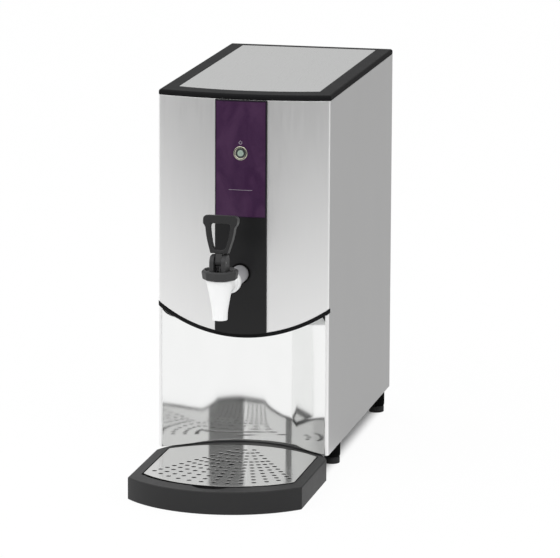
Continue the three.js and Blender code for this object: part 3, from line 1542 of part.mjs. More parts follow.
const boiler = group(0, tankCentre, 0);
boiler.add(
  piece("tank", tank(), satinSteel),
  piece("tank_gasket", tankGasket(), clearSilicone),
  piece("tank_lid", tankLid(), satinSteel),
  piece("clamp_band", clampBand(), satinSteel),
  piece("insulation_jacket", insulationJacket(), foam),
  piece("tank_stand", tankStand(), zinc),
  piece("heating_element", heatingElement(), satinSteel),
  piece("element_nut", elementNut(), brass),
  piece("temperature_probe", lidProbe(PROBE_RADIUS, TEMPERATURE_REACH), satinSteel),
  piece("level_probe_high", levelProbe(LEVEL_HIGH_REACH, PROBE_SIDE), satinSteel),
  piece("level_probe_low", levelProbe(LEVEL_LOW_REACH, -PROBE_SIDE), satinSteel),
);
const services = group(0, 0, 0);
services.add(
  piece("vent_pipe", ventPipe(), clearSilicone),
  piece("inlet_valve", inletValve(), creamPlastic),
  piece("valve_coil", valveCoil(), coilPlastic),
  piece("fill_hose", fillHose(), clearSilicone),
  piece("limit_thermostat", limitThermostat(), blackMoulding),
  piece("reset_button", resetButton(), redPlastic),
  piece("board_bracket", boardBracket(), zinc),
  piece("control_board", controlBoard(), circuitGreen),
  piece("terminal_block", terminalBlock(), creamPlastic),
  piece("cable_gland", cableGland(), blackMoulding),
  piece("gland_nut", glandNut(), blackMoulding),
);

export default model;
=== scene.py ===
"""The looks of a countertop water dispenser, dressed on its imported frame.

Sizes are millimetres in the case's own frame: x to the user's right, y back from the
case's front corners, z up from the counter. ``Place`` turns them into the frame's
metres. What a node's box can tell is read from the frame, and each class keeps the
other sizes of its sub-assembly as fields.
"""

from __future__ import annotations

import logging
from dataclasses import dataclass
from enum import Enum
from math import asin, cos, degrees, hypot, pi, radians, sin, sqrt, tan
from typing import Any, Callable, Iterable, Mapping, Sequence

import bmesh
import bpy
from bpy.types import Material, Node, NodeSocket, Object
from mathutils import Matrix, Vector

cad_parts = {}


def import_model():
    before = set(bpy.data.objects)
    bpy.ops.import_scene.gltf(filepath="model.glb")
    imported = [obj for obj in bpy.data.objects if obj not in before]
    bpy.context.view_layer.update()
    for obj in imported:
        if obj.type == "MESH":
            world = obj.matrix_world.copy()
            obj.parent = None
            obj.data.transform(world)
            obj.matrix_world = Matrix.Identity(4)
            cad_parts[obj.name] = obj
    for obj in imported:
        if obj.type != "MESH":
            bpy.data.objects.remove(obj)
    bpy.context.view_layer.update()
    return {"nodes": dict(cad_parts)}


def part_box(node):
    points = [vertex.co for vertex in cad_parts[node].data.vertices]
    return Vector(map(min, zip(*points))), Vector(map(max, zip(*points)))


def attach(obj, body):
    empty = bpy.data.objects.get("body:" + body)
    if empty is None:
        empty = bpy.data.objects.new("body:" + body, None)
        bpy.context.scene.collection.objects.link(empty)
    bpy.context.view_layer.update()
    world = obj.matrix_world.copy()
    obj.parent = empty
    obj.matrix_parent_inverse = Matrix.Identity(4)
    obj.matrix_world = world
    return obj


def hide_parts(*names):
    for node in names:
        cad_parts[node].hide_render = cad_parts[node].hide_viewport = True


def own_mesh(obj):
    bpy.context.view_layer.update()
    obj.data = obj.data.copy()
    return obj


LOG = logging.getLogger("dispenser")
MM = 0.001
GAP = 0.3
SHEET = 1.2
FRONT_BOW = 15.0
CORNER_RADIUS = 3.5
# Radii of the round holes that nodes pass through, and the heights of two of them.
HOLE_RADII = {
    "button_bezel": 8.6, "tap_shank": 10.3, "inlet_valve": 13.5,
    "cable_gland": 8.3, "vent_pipe": 5.3, "limit_thermostat": 6.3,
}
HOLE_HEIGHTS = {"vent_pipe": 62.0, "inlet_valve": 78.0}
TO_FRONT = Matrix.Rotation(radians(90), 4, "X")
TO_BACK = Matrix.Rotation(radians(-90), 4, "X")

Point2 = tuple[float, float]
Point3 = tuple[float, float, float]
Colour = tuple[float, float, float]
Outline = list[Point2]


# ---- Shader maths ----


def operator(operation: str, swapped: bool = False) -> Callable[[Value, Number], Value]:
    """A method of ``Value`` that adds a Math node, with its two numbers swapped if asked."""

    def method(self: Value, other: Number) -> Value:
        """One Math node of the two numbers."""
        pair = (other, self) if swapped else (self, other)
        return self.bench.math(operation, *pair)

    return method


class Value:
    """A number in a shader tree whose operators add Math nodes."""

    def __init__(self, bench: Bench, socket: NodeSocket) -> None:
        """Wraps one output socket of a bench's tree."""
        self.bench = bench
        self.socket = socket

    __add__ = __radd__ = operator("ADD")
    __sub__ = operator("SUBTRACT")
    __rsub__ = operator("SUBTRACT", swapped=True)
    __mul__ = __rmul__ = operator("MULTIPLY")

    def __abs__(self) -> Value:
        """The size of the number without its sign."""
        return self.bench.math("ABSOLUTE", self, 0.0)

    def above(self, edge: float, soft: float) -> Value:
        """A mask that rises smoothly from 0 to 1 across an edge.

        Args:
            edge: The number at the middle of the rise.
            soft: Half the width of the rise.

        Returns:
            The mask.
        """
        node = self.bench.node(
            "ShaderNodeMapRange",
            {"Value": self, "From Min": edge - soft, "From Max": edge + soft},
            interpolation_type="SMOOTHSTEP",
        )
        return Value(self.bench, node.outputs["Result"])


Number = float | Value


class Graph:
    """Something with a node tree that nodes are added to."""

    tree: bpy.types.NodeTree

    def node(
        self,
        kind: str,
        sockets: Mapping[str | int, Any] | None = None,
        **settings: Any,
    ) -> Node:
        """Adds a node.

        Args:
            kind: The node's type.
            sockets: Numbers, colours, sockets or nodes for its inputs, by name or index.
            settings: Its own settings, which are set first.

        Returns:
            The node.
        """
        node = self.tree.nodes.new(kind)
        for key, setting in settings.items():
            setattr(node, key, setting)
        for key, given in (sockets or {}).items():
            self.feed(node.inputs[key], given)
        return node

    def feed(self, socket: NodeSocket, given: Any) -> None:
        """Links a value, a socket or a node's first output to an input, or sets a constant."""
        if isinstance(given, Value):
            given = given.socket
        if isinstance(given, Node):
            given = given.outputs[0]
        if isinstance(given, NodeSocket):
            self.tree.links.new(given, socket)
            return
        if isinstance(given, tuple) and len(given) == 3 and socket.type == "RGBA":
            given = (*given, 1.0)
        socket.default_value = given


class Bench(Graph):
    """The node tree of one material, with its Principled shader in place."""

    def __init__(self, name: str) -> None:
        """Makes an empty material of this name."""
        self.material = bpy.data.materials.new(name)
        self.material.use_nodes = True
        self.tree = self.material.node_tree
        self.tree.nodes.clear()
        self.shader = self.node("ShaderNodeBsdfPrincipled")
        self.output = self.node("ShaderNodeOutputMaterial", {"Surface": self.shader.outputs[0]})
        coordinates = self.node("ShaderNodeTexCoord")
        self.place = coordinates.outputs["Object"]

    def set(self, **sockets: Any) -> None:
        """Sets or links the shader's own inputs, with _ for the spaces in their names."""
        for key, given in sockets.items():
            self.feed(self.shader.inputs[key.replace("_", " ")], given)

    def math(self, operation: str, first: Number, second: Number) -> Value:
        """One Math node of two numbers."""
        node = self.node("ShaderNodeMath", {0: first, 1: second}, operation=operation)
        return Value(self, node.outputs[0])

    def mix(self, share: Number, first: Any, second: Any) -> NodeSocket:
        """A colour between two colours, first where the share is 0."""
        node = self.node("ShaderNodeMix", {0: share, 6: first, 7: second}, data_type="RGBA")
        return node.outputs[2]

    def axes(self) -> tuple[Value, Value, Value]:
        """The point's x, y and z in metres."""
        node = self.node("ShaderNodeSeparateXYZ", {0: self.place})
        return tuple(Value(self, socket) for socket in node.outputs)

    def noise(self, stretch: Point3, detail: float = 3.0, warp: float = 0.0) -> Value:
        """Cloudy noise from 0 to 1.

        Args:
            stretch: Cycles per metre along x, y and z.
            detail: How many finer layers it has.
            warp: How far the layers are distorted.

        Returns:
            The noise.
        """
        mapping = self.node("ShaderNodeMapping", {"Vector": self.place, "Scale": stretch})
        settings = {"Vector": mapping, "Scale": 1.0, "Detail": detail, "Distortion": warp}
        return Value(self, self.node("ShaderNodeTexNoise", settings).outputs[0])

    def cells(self, stretch: Point3, feature: str = "F1") -> Value:
        """Distance to the nearest of many scattered points, or to the edge between two."""
        mapping = self.node("ShaderNodeMapping", {"Vector": self.place, "Scale": stretch})
        node = self.node("ShaderNodeTexVoronoi", {"Vector": mapping, "Scale": 1.0}, feature=feature)
        return Value(self, node.outputs["Distance"])

    def bump(self, height: Value, depth: float, strength: float = 1.0) -> None:
        """Lets a height, in units of depth metres, tilt the surface."""
        node = self.node("ShaderNodeBump", {"Height": height, "Distance": depth, "Strength": strength})
        self.feed(self.shader.inputs["Normal"], node.outputs[0])


def shade(colour: Colour, factor: float) -> Colour:
    """A colour made lighter or darker by a factor, within 0 to 1."""
    return tuple(min(1.0, max(0.0, part * factor)) for part in colour)


# ---- Finishes ----


class Grain(Enum):
    """The way a sheet was brushed, as cycles per metre along x, y and z."""

    UPRIGHT = (1500.0, 1500.0, 22.0)
    ACROSS = (22.0, 1500.0, 1500.0)
    LENGTHWISE = (1500.0, 22.0, 1500.0)


@dataclass(frozen=True)
class Finish:
    """A procedural finish, with its name and its main colour."""

    name: str
    colour: Colour

    def material(self) -> Material:
        """Builds the finish."""
        bench = Bench(self.name)
        self.paint(bench)
        return bench.material

    def paint(self, bench: Bench) -> None:
        """Sets the shader's inputs."""
        raise NotImplementedError


@dataclass(frozen=True)
class BrushedSteel(Finish):
    """Satin stainless sheet with fine brush lines and faint clouds."""

    roughness: float = 0.34
    grain: Grain = Grain.UPRIGHT
    lines: float = 0.05
    clouds: float = 0.05
    depth: float = 0.00001

    def paint(self, bench: Bench) -> None:
        """Sets the shader's inputs."""
        lines = bench.noise(self.grain.value, detail=2.0)
        clouds = bench.noise((9.0, 9.0, 6.0), detail=3.0, warp=0.4)
        wear = (lines - 0.5) * self.lines * 4.0 + (clouds - 0.5) * self.clouds * 4.0
        tint = bench.mix(wear + 0.5, shade(self.colour, 0.9), shade(self.colour, 1.1))
        bench.set(Base_Color=tint, Metallic=1.0, Roughness=(lines - 0.5) * 0.16 + self.roughness)
        bench.bump(lines, self.depth, 0.6)


@dataclass(frozen=True)
class MirrorSteel(Finish):
    """Polished stainless that is a little wavy and a little smudged."""

    roughness: float = 0.04
    waves: float = 0.0006

    def paint(self, bench: Bench) -> None:
        """Sets the shader's inputs."""
        smudge = bench.noise((30.0, 30.0, 16.0), detail=4.0, warp=0.6)
        waves = bench.noise((22.0, 22.0, 12.0), detail=1.0)
        tint = bench.mix(smudge, shade(self.colour, 0.97), shade(self.colour, 1.02))
        bench.set(Base_Color=tint, Metallic=1.0, Roughness=smudge * 0.07 + self.roughness)
        bench.bump(waves, self.waves, 0.4)


@dataclass(frozen=True)
class PlatedMetal(Finish):
    """Turned, stamped or plated metal with fine tool marks and dull patches."""

    roughness: float = 0.3
    marks: float = 1200.0

    def paint(self, bench: Bench) -> None:
        """Sets the shader's inputs."""
        marks = bench.noise((self.marks, self.marks, self.marks * 0.15), detail=2.0)
        patches = bench.noise((40.0, 40.0, 40.0), detail=4.0)
        tint = bench.mix(patches, shade(self.colour, 0.86), shade(self.colour, 1.08))
        bench.set(Base_Color=tint, Metallic=1.0, Roughness=patches * 0.14 + (self.roughness - 0.07))
        bench.bump(marks, 0.00002, 0.4)


@dataclass(frozen=True)
class Moulding(Finish):
    """Moulded plastic: an even colour, a fine spark-eroded grain and rubbed patches."""

    roughness: float = 0.5
    pitch: float = 2600.0
    depth: float = 0.00004
    coat: float = 0.0
    rubbed: float = 0.1
    specular: float = 0.5

    def paint(self, bench: Bench) -> None:
        """Sets the shader's inputs."""
        grain = bench.noise((self.pitch, self.pitch, self.pitch), detail=2.0)
        patches = bench.noise((26.0, 26.0, 26.0), detail=4.0, warp=0.5)
        tint = bench.mix(grain * 0.4 + patches * 0.6, shade(self.colour, 0.88), shade(self.colour, 1.12))
        bench.set(Base_Color=tint, Roughness=(patches - 0.5) * self.rubbed + self.roughness)
        bench.set(Coat_Weight=self.coat, Coat_Roughness=0.12, Specular_IOR_Level=self.specular)
        bench.bump(grain, self.depth, 0.5)


@dataclass(frozen=True)
class Film(Finish):
    """A printed film: soft two-tone clouds under gloss, with a darker rim."""

    second: Colour
    rim: Colour
    fleck: Colour
    half: float
    low: float
    high: float
    rim_width: float = 1.0

    def paint(self, bench: Bench) -> None:
        """Sets the shader's inputs. The film's half width and its ends are in millimetres."""
        x, _, z = bench.axes()
        clouds = bench.noise((34.0, 4.0, 20.0), detail=3.0, warp=1.4)
        flecks = bench.noise((1800.0, 200.0, 1800.0), detail=2.0)
        body = bench.mix(clouds.above(0.5, 0.2), self.colour, self.second)
        speckled = bench.mix((flecks - 0.5) * 0.3 + 0.08, body, self.fleck)
        side = abs(x).above((self.half - self.rim_width) * MM, 0.0004)
        middle = (self.low + self.high) / 2 * MM
        ends = abs(z - middle).above((self.high - self.low) / 2 * MM - self.rim_width * MM, 0.0004)
        edge = bench.math("MAXIMUM", side, ends)
        bench.set(Base_Color=bench.mix(edge, speckled, self.rim), Roughness=clouds * 0.06 + 0.2)
        bench.set(Coat_Weight=0.08, Coat_Roughness=0.1, Specular_IOR_Level=0.2)
        bench.bump(flecks, 0.00001, 0.2)


@dataclass(frozen=True)
class SoftSkin(Finish):
    """Rubber, silicone or foam: dull, dusty and slightly pitted."""

    roughness: float = 0.75
    pore: float = 900.0
    depth: float = 0.00012
    clear: float = 0.0

    def paint(self, bench: Bench) -> None:
        """Sets the shader's inputs."""
        pores = bench.cells((self.pore, self.pore, self.pore))
        dust = bench.noise((60.0, 60.0, 60.0), detail=5.0)
        tint = bench.mix(dust * 0.7 + pores * 0.3, shade(self.colour, 0.85), shade(self.colour, 1.15))
        bench.set(Base_Color=tint, Roughness=(dust - 0.5) * 0.2 + self.roughness)
        bench.set(Transmission_Weight=self.clear, IOR=1.41, Specular_IOR_Level=0.12)
        bench.bump(pores, self.depth, 0.4)


@dataclass(frozen=True)
class CircuitBoard(Finish):
    """Green lacquer over copper tracks, with a fine weave under it."""

    track: float = 260.0

    def paint(self, bench: Bench) -> None:
        """Sets the shader's inputs."""
        edges = bench.cells((self.track * 0.4, self.track * 0.5, self.track * 0.5), "DISTANCE_TO_EDGE")
        tracks = 1.0 - edges.above(0.07, 0.02)
        weave = bench.noise((2400.0, 2400.0, 2400.0), detail=1.0)
        tint = bench.mix(tracks * 0.8, shade(self.colour, 0.8), shade(self.colour, 1.7))
        bench.set(Base_Color=tint, Roughness=weave * 0.1 + 0.3, Coat_Weight=0.5)
        bench.bump(tracks + weave * 0.2, 0.00004, 0.5)


# ---- Shapes ----


@dataclass(frozen=True)
class Box:
    """A node's box in the case's frame, in millimetres."""

    low: Vector
    high: Vector

    @property
    def middle(self) -> Vector:
        """The box's centre."""
        return (self.low + self.high) / 2


class Place:
    """Where the case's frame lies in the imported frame."""

    def __init__(self, back: float | None = None) -> None:
        """Takes how far back the front corners lie, or finds it from the folded sheet's box."""
        self.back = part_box("case_wrap")[0].y / MM + FRONT_BOW if back is None else back

    def box(self, node: str) -> Box:
        """A node's box in millimetres, y from the case's front corners."""
        shift = Vector((0.0, self.back, 0.0))
        low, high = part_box(node)
        return Box(low / MM - shift, high / MM - shift)

    def metres(self, point: Sequence[float]) -> Point3:
        """A point in the case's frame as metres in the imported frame."""
        return (point[0] * MM, (point[1] + self.back) * MM, point[2] * MM)


def arc(x: float, y: float, radius: float, start: float, end: float, steps: int) -> Outline:
    """Points of an arc about (x, y), angles in degrees, both ends included."""
    turns = [radians(start + (end - start) * i / steps) for i in range(steps + 1)]
    return [(x + radius * cos(turn), y + radius * sin(turn)) for turn in turns]


def curve_step(before: Point2, start: Point2, end: Point2, after: Point2, steps: int) -> Outline:
    """Points of a soft curve from start to end, led by the points before and after them."""
    made: Outline = []
    for step in range(1, steps + 1):
        t = step / steps
        weights = (-t + 2 * t * t - t**3, 2 - 5 * t * t + 3 * t**3, t + 4 * t * t - 3 * t**3, -t * t + t**3)
        around = (before, start, end, after)
        made.append(tuple(sum(w * p[axis] for w, p in zip(weights, around)) / 2 for axis in (0, 1)))
    return made


def bow_radius(half: float, rise: float) -> float:
    """Radius of the arc that rises this far over a chord of twice this half."""
    return (half * half + rise * rise) / (2 * rise)


def chord_arc(centre: float, radius: float, half: float, steps: int, facing: float = 270.0) -> Outline:
    """An arc about (0, centre) over a chord of twice this half, facing forwards or another way."""
    turn = degrees(asin(half / radius))
    return arc(0.0, centre, radius, facing - turn, facing + turn, steps)


class Shape:
    """Points in the case's frame and the faces between them."""

    def __init__(self, points: Iterable[Point3] = (), faces: Iterable[Sequence[int]] = ()) -> None:
        """Takes the first points and faces."""
        self.points = list(points)
        self.faces = [tuple(face) for face in faces]

    def add(self, other: Shape) -> Shape:
        """Takes in another shape's points and faces, and gives this shape back."""
        start = len(self.points)
        self.points += other.points
        self.faces += [tuple(index + start for index in face) for face in other.faces]
        return self

    def moved(self, x: float = 0.0, y: float = 0.0, z: float = 0.0) -> Shape:
        """A copy moved by these distances."""
        return Shape([(a + x, b + y, c + z) for a, b, c in self.points], self.faces)

    def turned(self, matrix: Matrix) -> Shape:
        """A copy put through a matrix."""
        return Shape([tuple(matrix @ Vector(point)) for point in self.points], self.faces)

    @staticmethod
    def loft(rows: Sequence[Sequence[Point3]], caps: bool = True, ring: bool = True) -> Shape:
        """Skins rows that have as many points each.

        Args:
            rows: The rows, from one end to the other.
            caps: Whether the first and last rows are closed by a face.
            ring: Whether each row closes on itself.

        Returns:
            The shape.
        """
        count = len(rows[0])
        faces: list[tuple[int, ...]] = []
        for row in range(len(rows) - 1):
            for i in range(count if ring else count - 1):
                j = (i + 1) % count
                low, high = row * count, (row + 1) * count
                faces.append((low + i, low + j, high + j, high + i))
        if caps:
            last = (len(rows) - 1) * count
            faces.append(tuple(reversed(range(count))))
            faces.append(tuple(range(last, last + count)))
        return Shape([point for row in rows for point in row], faces)

    @staticmethod
    def prism(outline: Outline, low: float, high: float) -> Shape:
        """A plan outline standing from one height to another."""
        return Shape.loft([[(x, y, z) for x, y in outline] for z in (low, high)])

    @staticmethod
    def block(x: Point2, y: Point2, z: Point2) -> Shape:
        """A block between two values on each axis."""
        return Shape.prism([(x[0], y[0]), (x[1], y[0]), (x[1], y[1]), (x[0], y[1])], *z)

    @staticmethod
    def lathe(profile: Outline, sides: int = 64, phase: float = 0.0) -> Shape:
        """Turns (radius, height) pairs about z. The profile closes on itself or on the axis."""
        turns = [2 * pi * (i + phase) / sides for i in range(sides)]
        rows = [[(r * cos(t), r * sin(t), z) for t in turns] for r, z in profile]
        return Shape.loft([*rows, rows[0]], caps=False)

    @staticmethod
    def bar(radius: float, low: float, high: float, sides: int = 48) -> Shape:
        """A round bar on the z axis."""
        return Shape.lathe([(0.0, low), (radius, low), (radius, high), (0.0, high)], sides)

    def along_y(self) -> Shape:
        """Lays a shape's z axis along y, with what was above at the back."""
        return Shape([(x, z, -y) for x, y, z in self.points], self.faces)

    def along_x(self) -> Shape:
        """Lays a shape's z axis along x, with what was above at the right."""
        return Shape([(z, y, -x) for x, y, z in self.points], self.faces)


def crosswise(side: Outline, low: float, high: float) -> Shape:
    """An outline seen from the side (y, z), running across between two values of x."""
    return Shape.loft([[(x, y, z) for y, z in side] for x in (low, high)])


def chamfered(radius: float, low: float, high: float, edge: float) -> Outline:
    """The (radius, height) profile of a round bar with chamfered ends."""
    return [
        (0.0, low), (radius - edge, low), (radius, low + edge),
        (radius, high - edge), (radius - edge, high), (0.0, high),
    ]


def rounded_top(plan: Callable[[float], Outline], top: float, edge: float, steps: int) -> list[list[Point3]]:
    """Rows of a plan that draws in, from its widest, to a rounded top edge."""
    rows = []
    for i in range(steps + 1):
        turn = radians(90 * i / steps)
        inset, z = edge * (1 - cos(turn)), top - edge * (1 - sin(turn))
        rows.append([(x, y, z) for x, y in plan(inset)])
    return rows


def linked(name: str, data: bpy.types.ID | None) -> Object:
    """A new object with this data, in the scene."""
    made = bpy.data.objects.new(name, data)
    bpy.context.scene.collection.objects.link(made)
    return made


class Work:
    """One visible piece while it is made."""

    def __init__(self, name: str, shape: Shape, place: Place, closed: bool = True) -> None:
        """Makes the piece's first mesh.

        Args:
            name: The piece's name.
            shape: Its shape in the case's frame.
            place: Where that frame lies.
            closed: Whether the shape is a closed body, whose faces are turned outwards.
        """
        self.place = place
        mesh = bpy.data.meshes.new(name)
        mesh.from_pydata([place.metres(point) for point in shape.points], [], shape.faces)
        made = bmesh.new()
        made.from_mesh(mesh)
        bmesh.ops.remove_doubles(made, verts=made.verts, dist=0.005 * MM)
        if closed:
            bmesh.ops.recalc_face_normals(made, faces=made.faces)
        made.to_mesh(mesh)
        made.free()
        self.object = linked(name, mesh)

    def modifier(self, kind: str, **settings: Any) -> Work:
        """Adds a modifier with these settings and applies it."""
        modifier = self.object.modifiers.new(kind.lower(), kind)
        for key, setting in settings.items():
            setattr(modifier, key, setting)
        self.apply()
        return self

    def apply(self) -> None:
        """Turns the evaluated object into a plain mesh."""
        graph = bpy.context.evaluated_depsgraph_get()
        mesh = bpy.data.meshes.new_from_object(self.object.evaluated_get(graph))
        self.object.modifiers.clear()
        self.object.data = mesh

    def thicken(self, by: float) -> Work:
        """Gives an open skin its thickness, inwards from its faces, in millimetres."""
        return self.modifier(
            "SOLIDIFY", thickness=by * MM, offset=-1.0, use_even_offset=True, use_quality_normals=True
        )

    def combine(self, operation: str, tools: Iterable[Shape]) -> Work:
        """Joins or cuts the piece with closed shapes."""
        for shape in tools:
            tool = Work("tool", shape, self.place).object
            self.modifier("BOOLEAN", operation=operation, object=tool, solver="EXACT")
            bpy.data.objects.remove(tool)
        return self

    def cut(self, *tools: Shape) -> Work:
        """Cuts closed shapes out of the piece."""
        return self.combine("DIFFERENCE", tools)

    def join(self, *tools: Shape) -> Work:
        """Joins closed shapes to the piece."""
        return self.combine("UNION", tools)

    def soften(self, width: float, segments: int = 2, angle: float = 32.0) -> Work:
        """Rounds the edges that turn by more than an angle."""
        return self.modifier(
            "BEVEL", width=width * MM, segments=segments, limit_method="ANGLE",
            angle_limit=radians(angle), use_clamp_overlap=True,
        )

    def dress(self, finish: Material, body: str, slot: str, *nodes: str, sharp: float = 50.0) -> Object:
        """Shades the piece, gives it its finish and hands it to the frame.

        Args:
            finish: The piece's material.
            body: The body that it rides on.
            slot: The record's slot for its finish; not used.
            nodes: The CAD nodes that it stands for.
            sharp: Edges that turn by more than this, in degrees, stay sharp.

        Returns:
            The finished object.
        """
        mesh = self.object.data
        made = bmesh.new()
        made.from_mesh(mesh)
        if made.calc_volume(signed=True) < 0:
            bmesh.ops.reverse_faces(made, faces=made.faces)
        made.to_mesh(mesh)
        made.free()
        mesh.shade_smooth()
        mesh.set_sharp_from_angle(angle=radians(sharp))
        self.modifier("WEIGHTED_NORMAL", keep_sharp=True, weight=60)
        self.object.data.materials.clear()
        self.object.data.materials.append(finish)
        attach(self.object, body)
        if nodes:
            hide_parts(*nodes)
        LOG.info("%s: %d faces on %s", self.object.name, len(self.object.data.polygons), body)
        return self.object


# ---- Geometry trees ----


class Tree(Graph):
    """A geometry tree with named inputs."""

    def __init__(self, name: str, inputs: Mapping[str, str]) -> None:
        """Makes the tree.

        Args:
            name: The tree's name.
            inputs: Its inputs' names and the kinds of their sockets.
        """
        self.tree = bpy.data.node_groups.new(name, "GeometryNodeTree")
        self.tree.is_modifier = True
        face = self.tree.interface
        face.new_socket(name="Geometry", in_out="INPUT", socket_type="NodeSocketGeometry")
        self.identifiers = {}
        for key, kind in {**inputs, "Finish": "NodeSocketMaterial"}.items():
            socket = face.new_socket(name=key, in_out="INPUT", socket_type=kind)
            self.identifiers[key] = socket.identifier
        face.new_socket(name="Geometry", in_out="OUTPUT", socket_type="NodeSocketGeometry")
        self.given = self.node("NodeGroupInput").outputs

    def close(self, geometry: Node) -> None:
        """Ends the tree in real geometry with its finish."""
        real = self.node("GeometryNodeRealizeInstances", {0: geometry})
        finish = self.given["Finish"]
        painted = self.node("GeometryNodeSetMaterial", {0: real, "Material": finish})
        self.node("NodeGroupOutput", {0: painted})

    def grow(self, work: Work, **inputs: Any) -> Work:
        """Runs the tree on a piece's mesh.

        Args:
            work: The piece, whose mesh is the tree's geometry.
            inputs: The tree's inputs, by name.

        Returns:
            The piece, with the result as its mesh.
        """
        modifier = work.object.modifiers.new(self.tree.name, "NODES")
        modifier.node_group = self.tree
        for key, given in inputs.items():
            modifier[self.identifiers[key]] = given
        work.apply()
        return work


def punched_sheet() -> Tree:
    """A flat sheet with a hole at each point, as wide as the point's "hole" number."""
    inputs = {"Outline": "NodeSocketObject", "Hole": "NodeSocketObject", "Thickness": "NodeSocketFloat"}
    tree = Tree("punched_sheet", inputs)
    curves = []
    for key in ("Outline", "Hole"):
        source = tree.node("GeometryNodeObjectInfo", {"Object": tree.given[key]})
        curves.append(tree.node("GeometryNodeMeshToCurve", {0: source.outputs["Geometry"]}).outputs[0])
    size = tree.node("GeometryNodeInputNamedAttribute", {"Name": "hole"}, data_type="FLOAT")
    centres = tree.node("GeometryNodeMeshToPoints", {0: tree.given["Geometry"]})
    holes = tree.node(
        "GeometryNodeInstanceOnPoints",
        {"Points": centres, "Instance": curves[1], "Scale": size},
    )
    real = tree.node("GeometryNodeRealizeInstances", {0: holes})
    both = tree.node("GeometryNodeJoinGeometry")
    tree.tree.links.new(real.outputs[0], both.inputs[0])
    tree.tree.links.new(curves[0], both.inputs[0])
    face = tree.node("GeometryNodeFillCurve", {0: both})
    flat = face.outputs[0]
    raised = tree.node(
        "GeometryNodeExtrudeMesh",
        {
            "Mesh": flat, "Offset": (0.0, 0.0, 1.0), "Offset Scale": tree.given["Thickness"],
            "Individual": False,
        },
        mode="FACES",
    )
    under = tree.node("GeometryNodeFlipFaces", {0: flat})
    whole = tree.node("GeometryNodeJoinGeometry")
    tree.tree.links.new(raised.outputs[0], whole.inputs[0])
    tree.tree.links.new(under.outputs[0], whole.inputs[0])
    merged = tree.node("GeometryNodeMergeByDistance", {0: whole, "Distance": 0.002 * MM})
    tree.close(merged)
    return tree


def spread() -> Tree:
    """A copy of one object on each point, turned about z by the point's "turn" number."""
    tree = Tree("spread", {"Copy": "NodeSocketObject"})
    source = tree.node("GeometryNodeObjectInfo", {"Object": tree.given["Copy"]})
    turn = tree.node("GeometryNodeInputNamedAttribute", {"Name": "turn"}, data_type="FLOAT")
    spin = tree.node("ShaderNodeCombineXYZ", {"Z": turn})
    rotation = tree.node("FunctionNodeEulerToRotation", {0: spin})
    points = tree.node("GeometryNodeMeshToPoints", {0: tree.given["Geometry"]})
    copies = tree.node(
        "GeometryNodeInstanceOnPoints",
        {"Points": points, "Instance": source.outputs["Geometry"], "Rotation": rotation},
    )
    tree.close(copies)
    return tree


def coil() -> Tree:
    """A round wire wound about z, from the sizes given, at the mesh's first point."""
    kinds = {"Turns": "NodeSocketFloat", "Radius": "NodeSocketFloat", "Height": "NodeSocketFloat"}
    tree = Tree("coil", {**kinds, "Wire": "NodeSocketFloat"})
    spiral = tree.node(
        "GeometryNodeCurveSpiral",
        {
            "Resolution": 32, "Rotations": tree.given["Turns"], "Start Radius": tree.given["Radius"],
            "End Radius": tree.given["Radius"], "Height": tree.given["Height"],
        },
    )
    ring = {"Resolution": 12, "Radius": tree.given["Wire"]}
    section = tree.node("GeometryNodeCurvePrimitiveCircle", ring)
    sweep = {"Curve": spiral, "Profile Curve": section, "Fill Caps": True}
    wire = tree.node("GeometryNodeCurveToMesh", sweep)
    points = tree.node("GeometryNodeMeshToPoints", {0: tree.given["Geometry"]})
    tree.close(tree.node("GeometryNodeInstanceOnPoints", {"Points": points, "Instance": wire}))
    return tree


# ---- The case's own forms ----


@dataclass(frozen=True)
class Front:
    """The bowed front that the case, its moulding and its strip share."""

    half: float
    bow: float = FRONT_BOW
    corner: float = CORNER_RADIUS
    steps: int = 96

    @property
    def radius(self) -> float:
        """Radius of the bow."""
        return bow_radius(self.half, self.bow)

    @property
    def centre(self) -> float:
        """The bow's centre behind the case's front corners."""
        return self.radius - self.bow

    def at(self, x: float, proud: float = 0.0) -> float:
        """The front's y at some x, moved out by a distance."""
        return self.centre - sqrt((self.radius + proud) ** 2 - x * x)

    def strip(self, half: float, proud: float = 0.0, steps: int = 40) -> Outline:
        """The front's line from one side of the middle to the other."""
        return chord_arc(self.centre, self.radius + proud, half, steps)

    def face(self, proud: float = 0.0) -> Outline:
        """The whole front's line with both round corners, from left to right."""
        if self.corner + proud < 0.05:
            return self.strip(self.half + proud, proud, self.steps)
        corner_x = self.half - self.corner
        reach = self.radius - self.corner
        corner_y = self.centre - sqrt(reach**2 - corner_x**2)
        turn = degrees(asin(corner_x / reach))
        round_off = self.corner + proud
        left = arc(-corner_x, corner_y, round_off, 180, 270 - turn, 8)
        middle = arc(0.0, self.centre, self.radius + proud, 270 - turn, 270 + turn, self.steps)
        right = arc(corner_x, corner_y, round_off, 270 + turn, 360, 8)
        return [*left, *middle[1:-1], *right]

    def outline(self, inset: float, rear: float) -> Outline:
        """The case's plan outline, drawn in by an inset, with a flat rear."""
        half = self.half - inset
        return [*self.face(-inset), (half, rear), (-half, rear)]


@dataclass(frozen=True)
class Arch:
    """The curved black band under the front."""

    half: float
    low: float
    high: float = 199.5
    band: float = 4.2

    @property
    def radius(self) -> float:
        """Radius of the band's underside."""
        return bow_radius(self.half, self.high - self.low)

    def height(self, x: float, grow: float = 0.0) -> float:
        """Height at some x of the underside, or of a line this far above it."""
        radius = self.radius
        return self.low + radius - sqrt((radius - grow) ** 2 - x * x)

    def line(self, half: float, grow: float, steps: int = 96) -> Outline:
        """The line (x, z) this far above the underside."""
        return chord_arc(self.low + self.radius, self.radius - grow, half, steps)


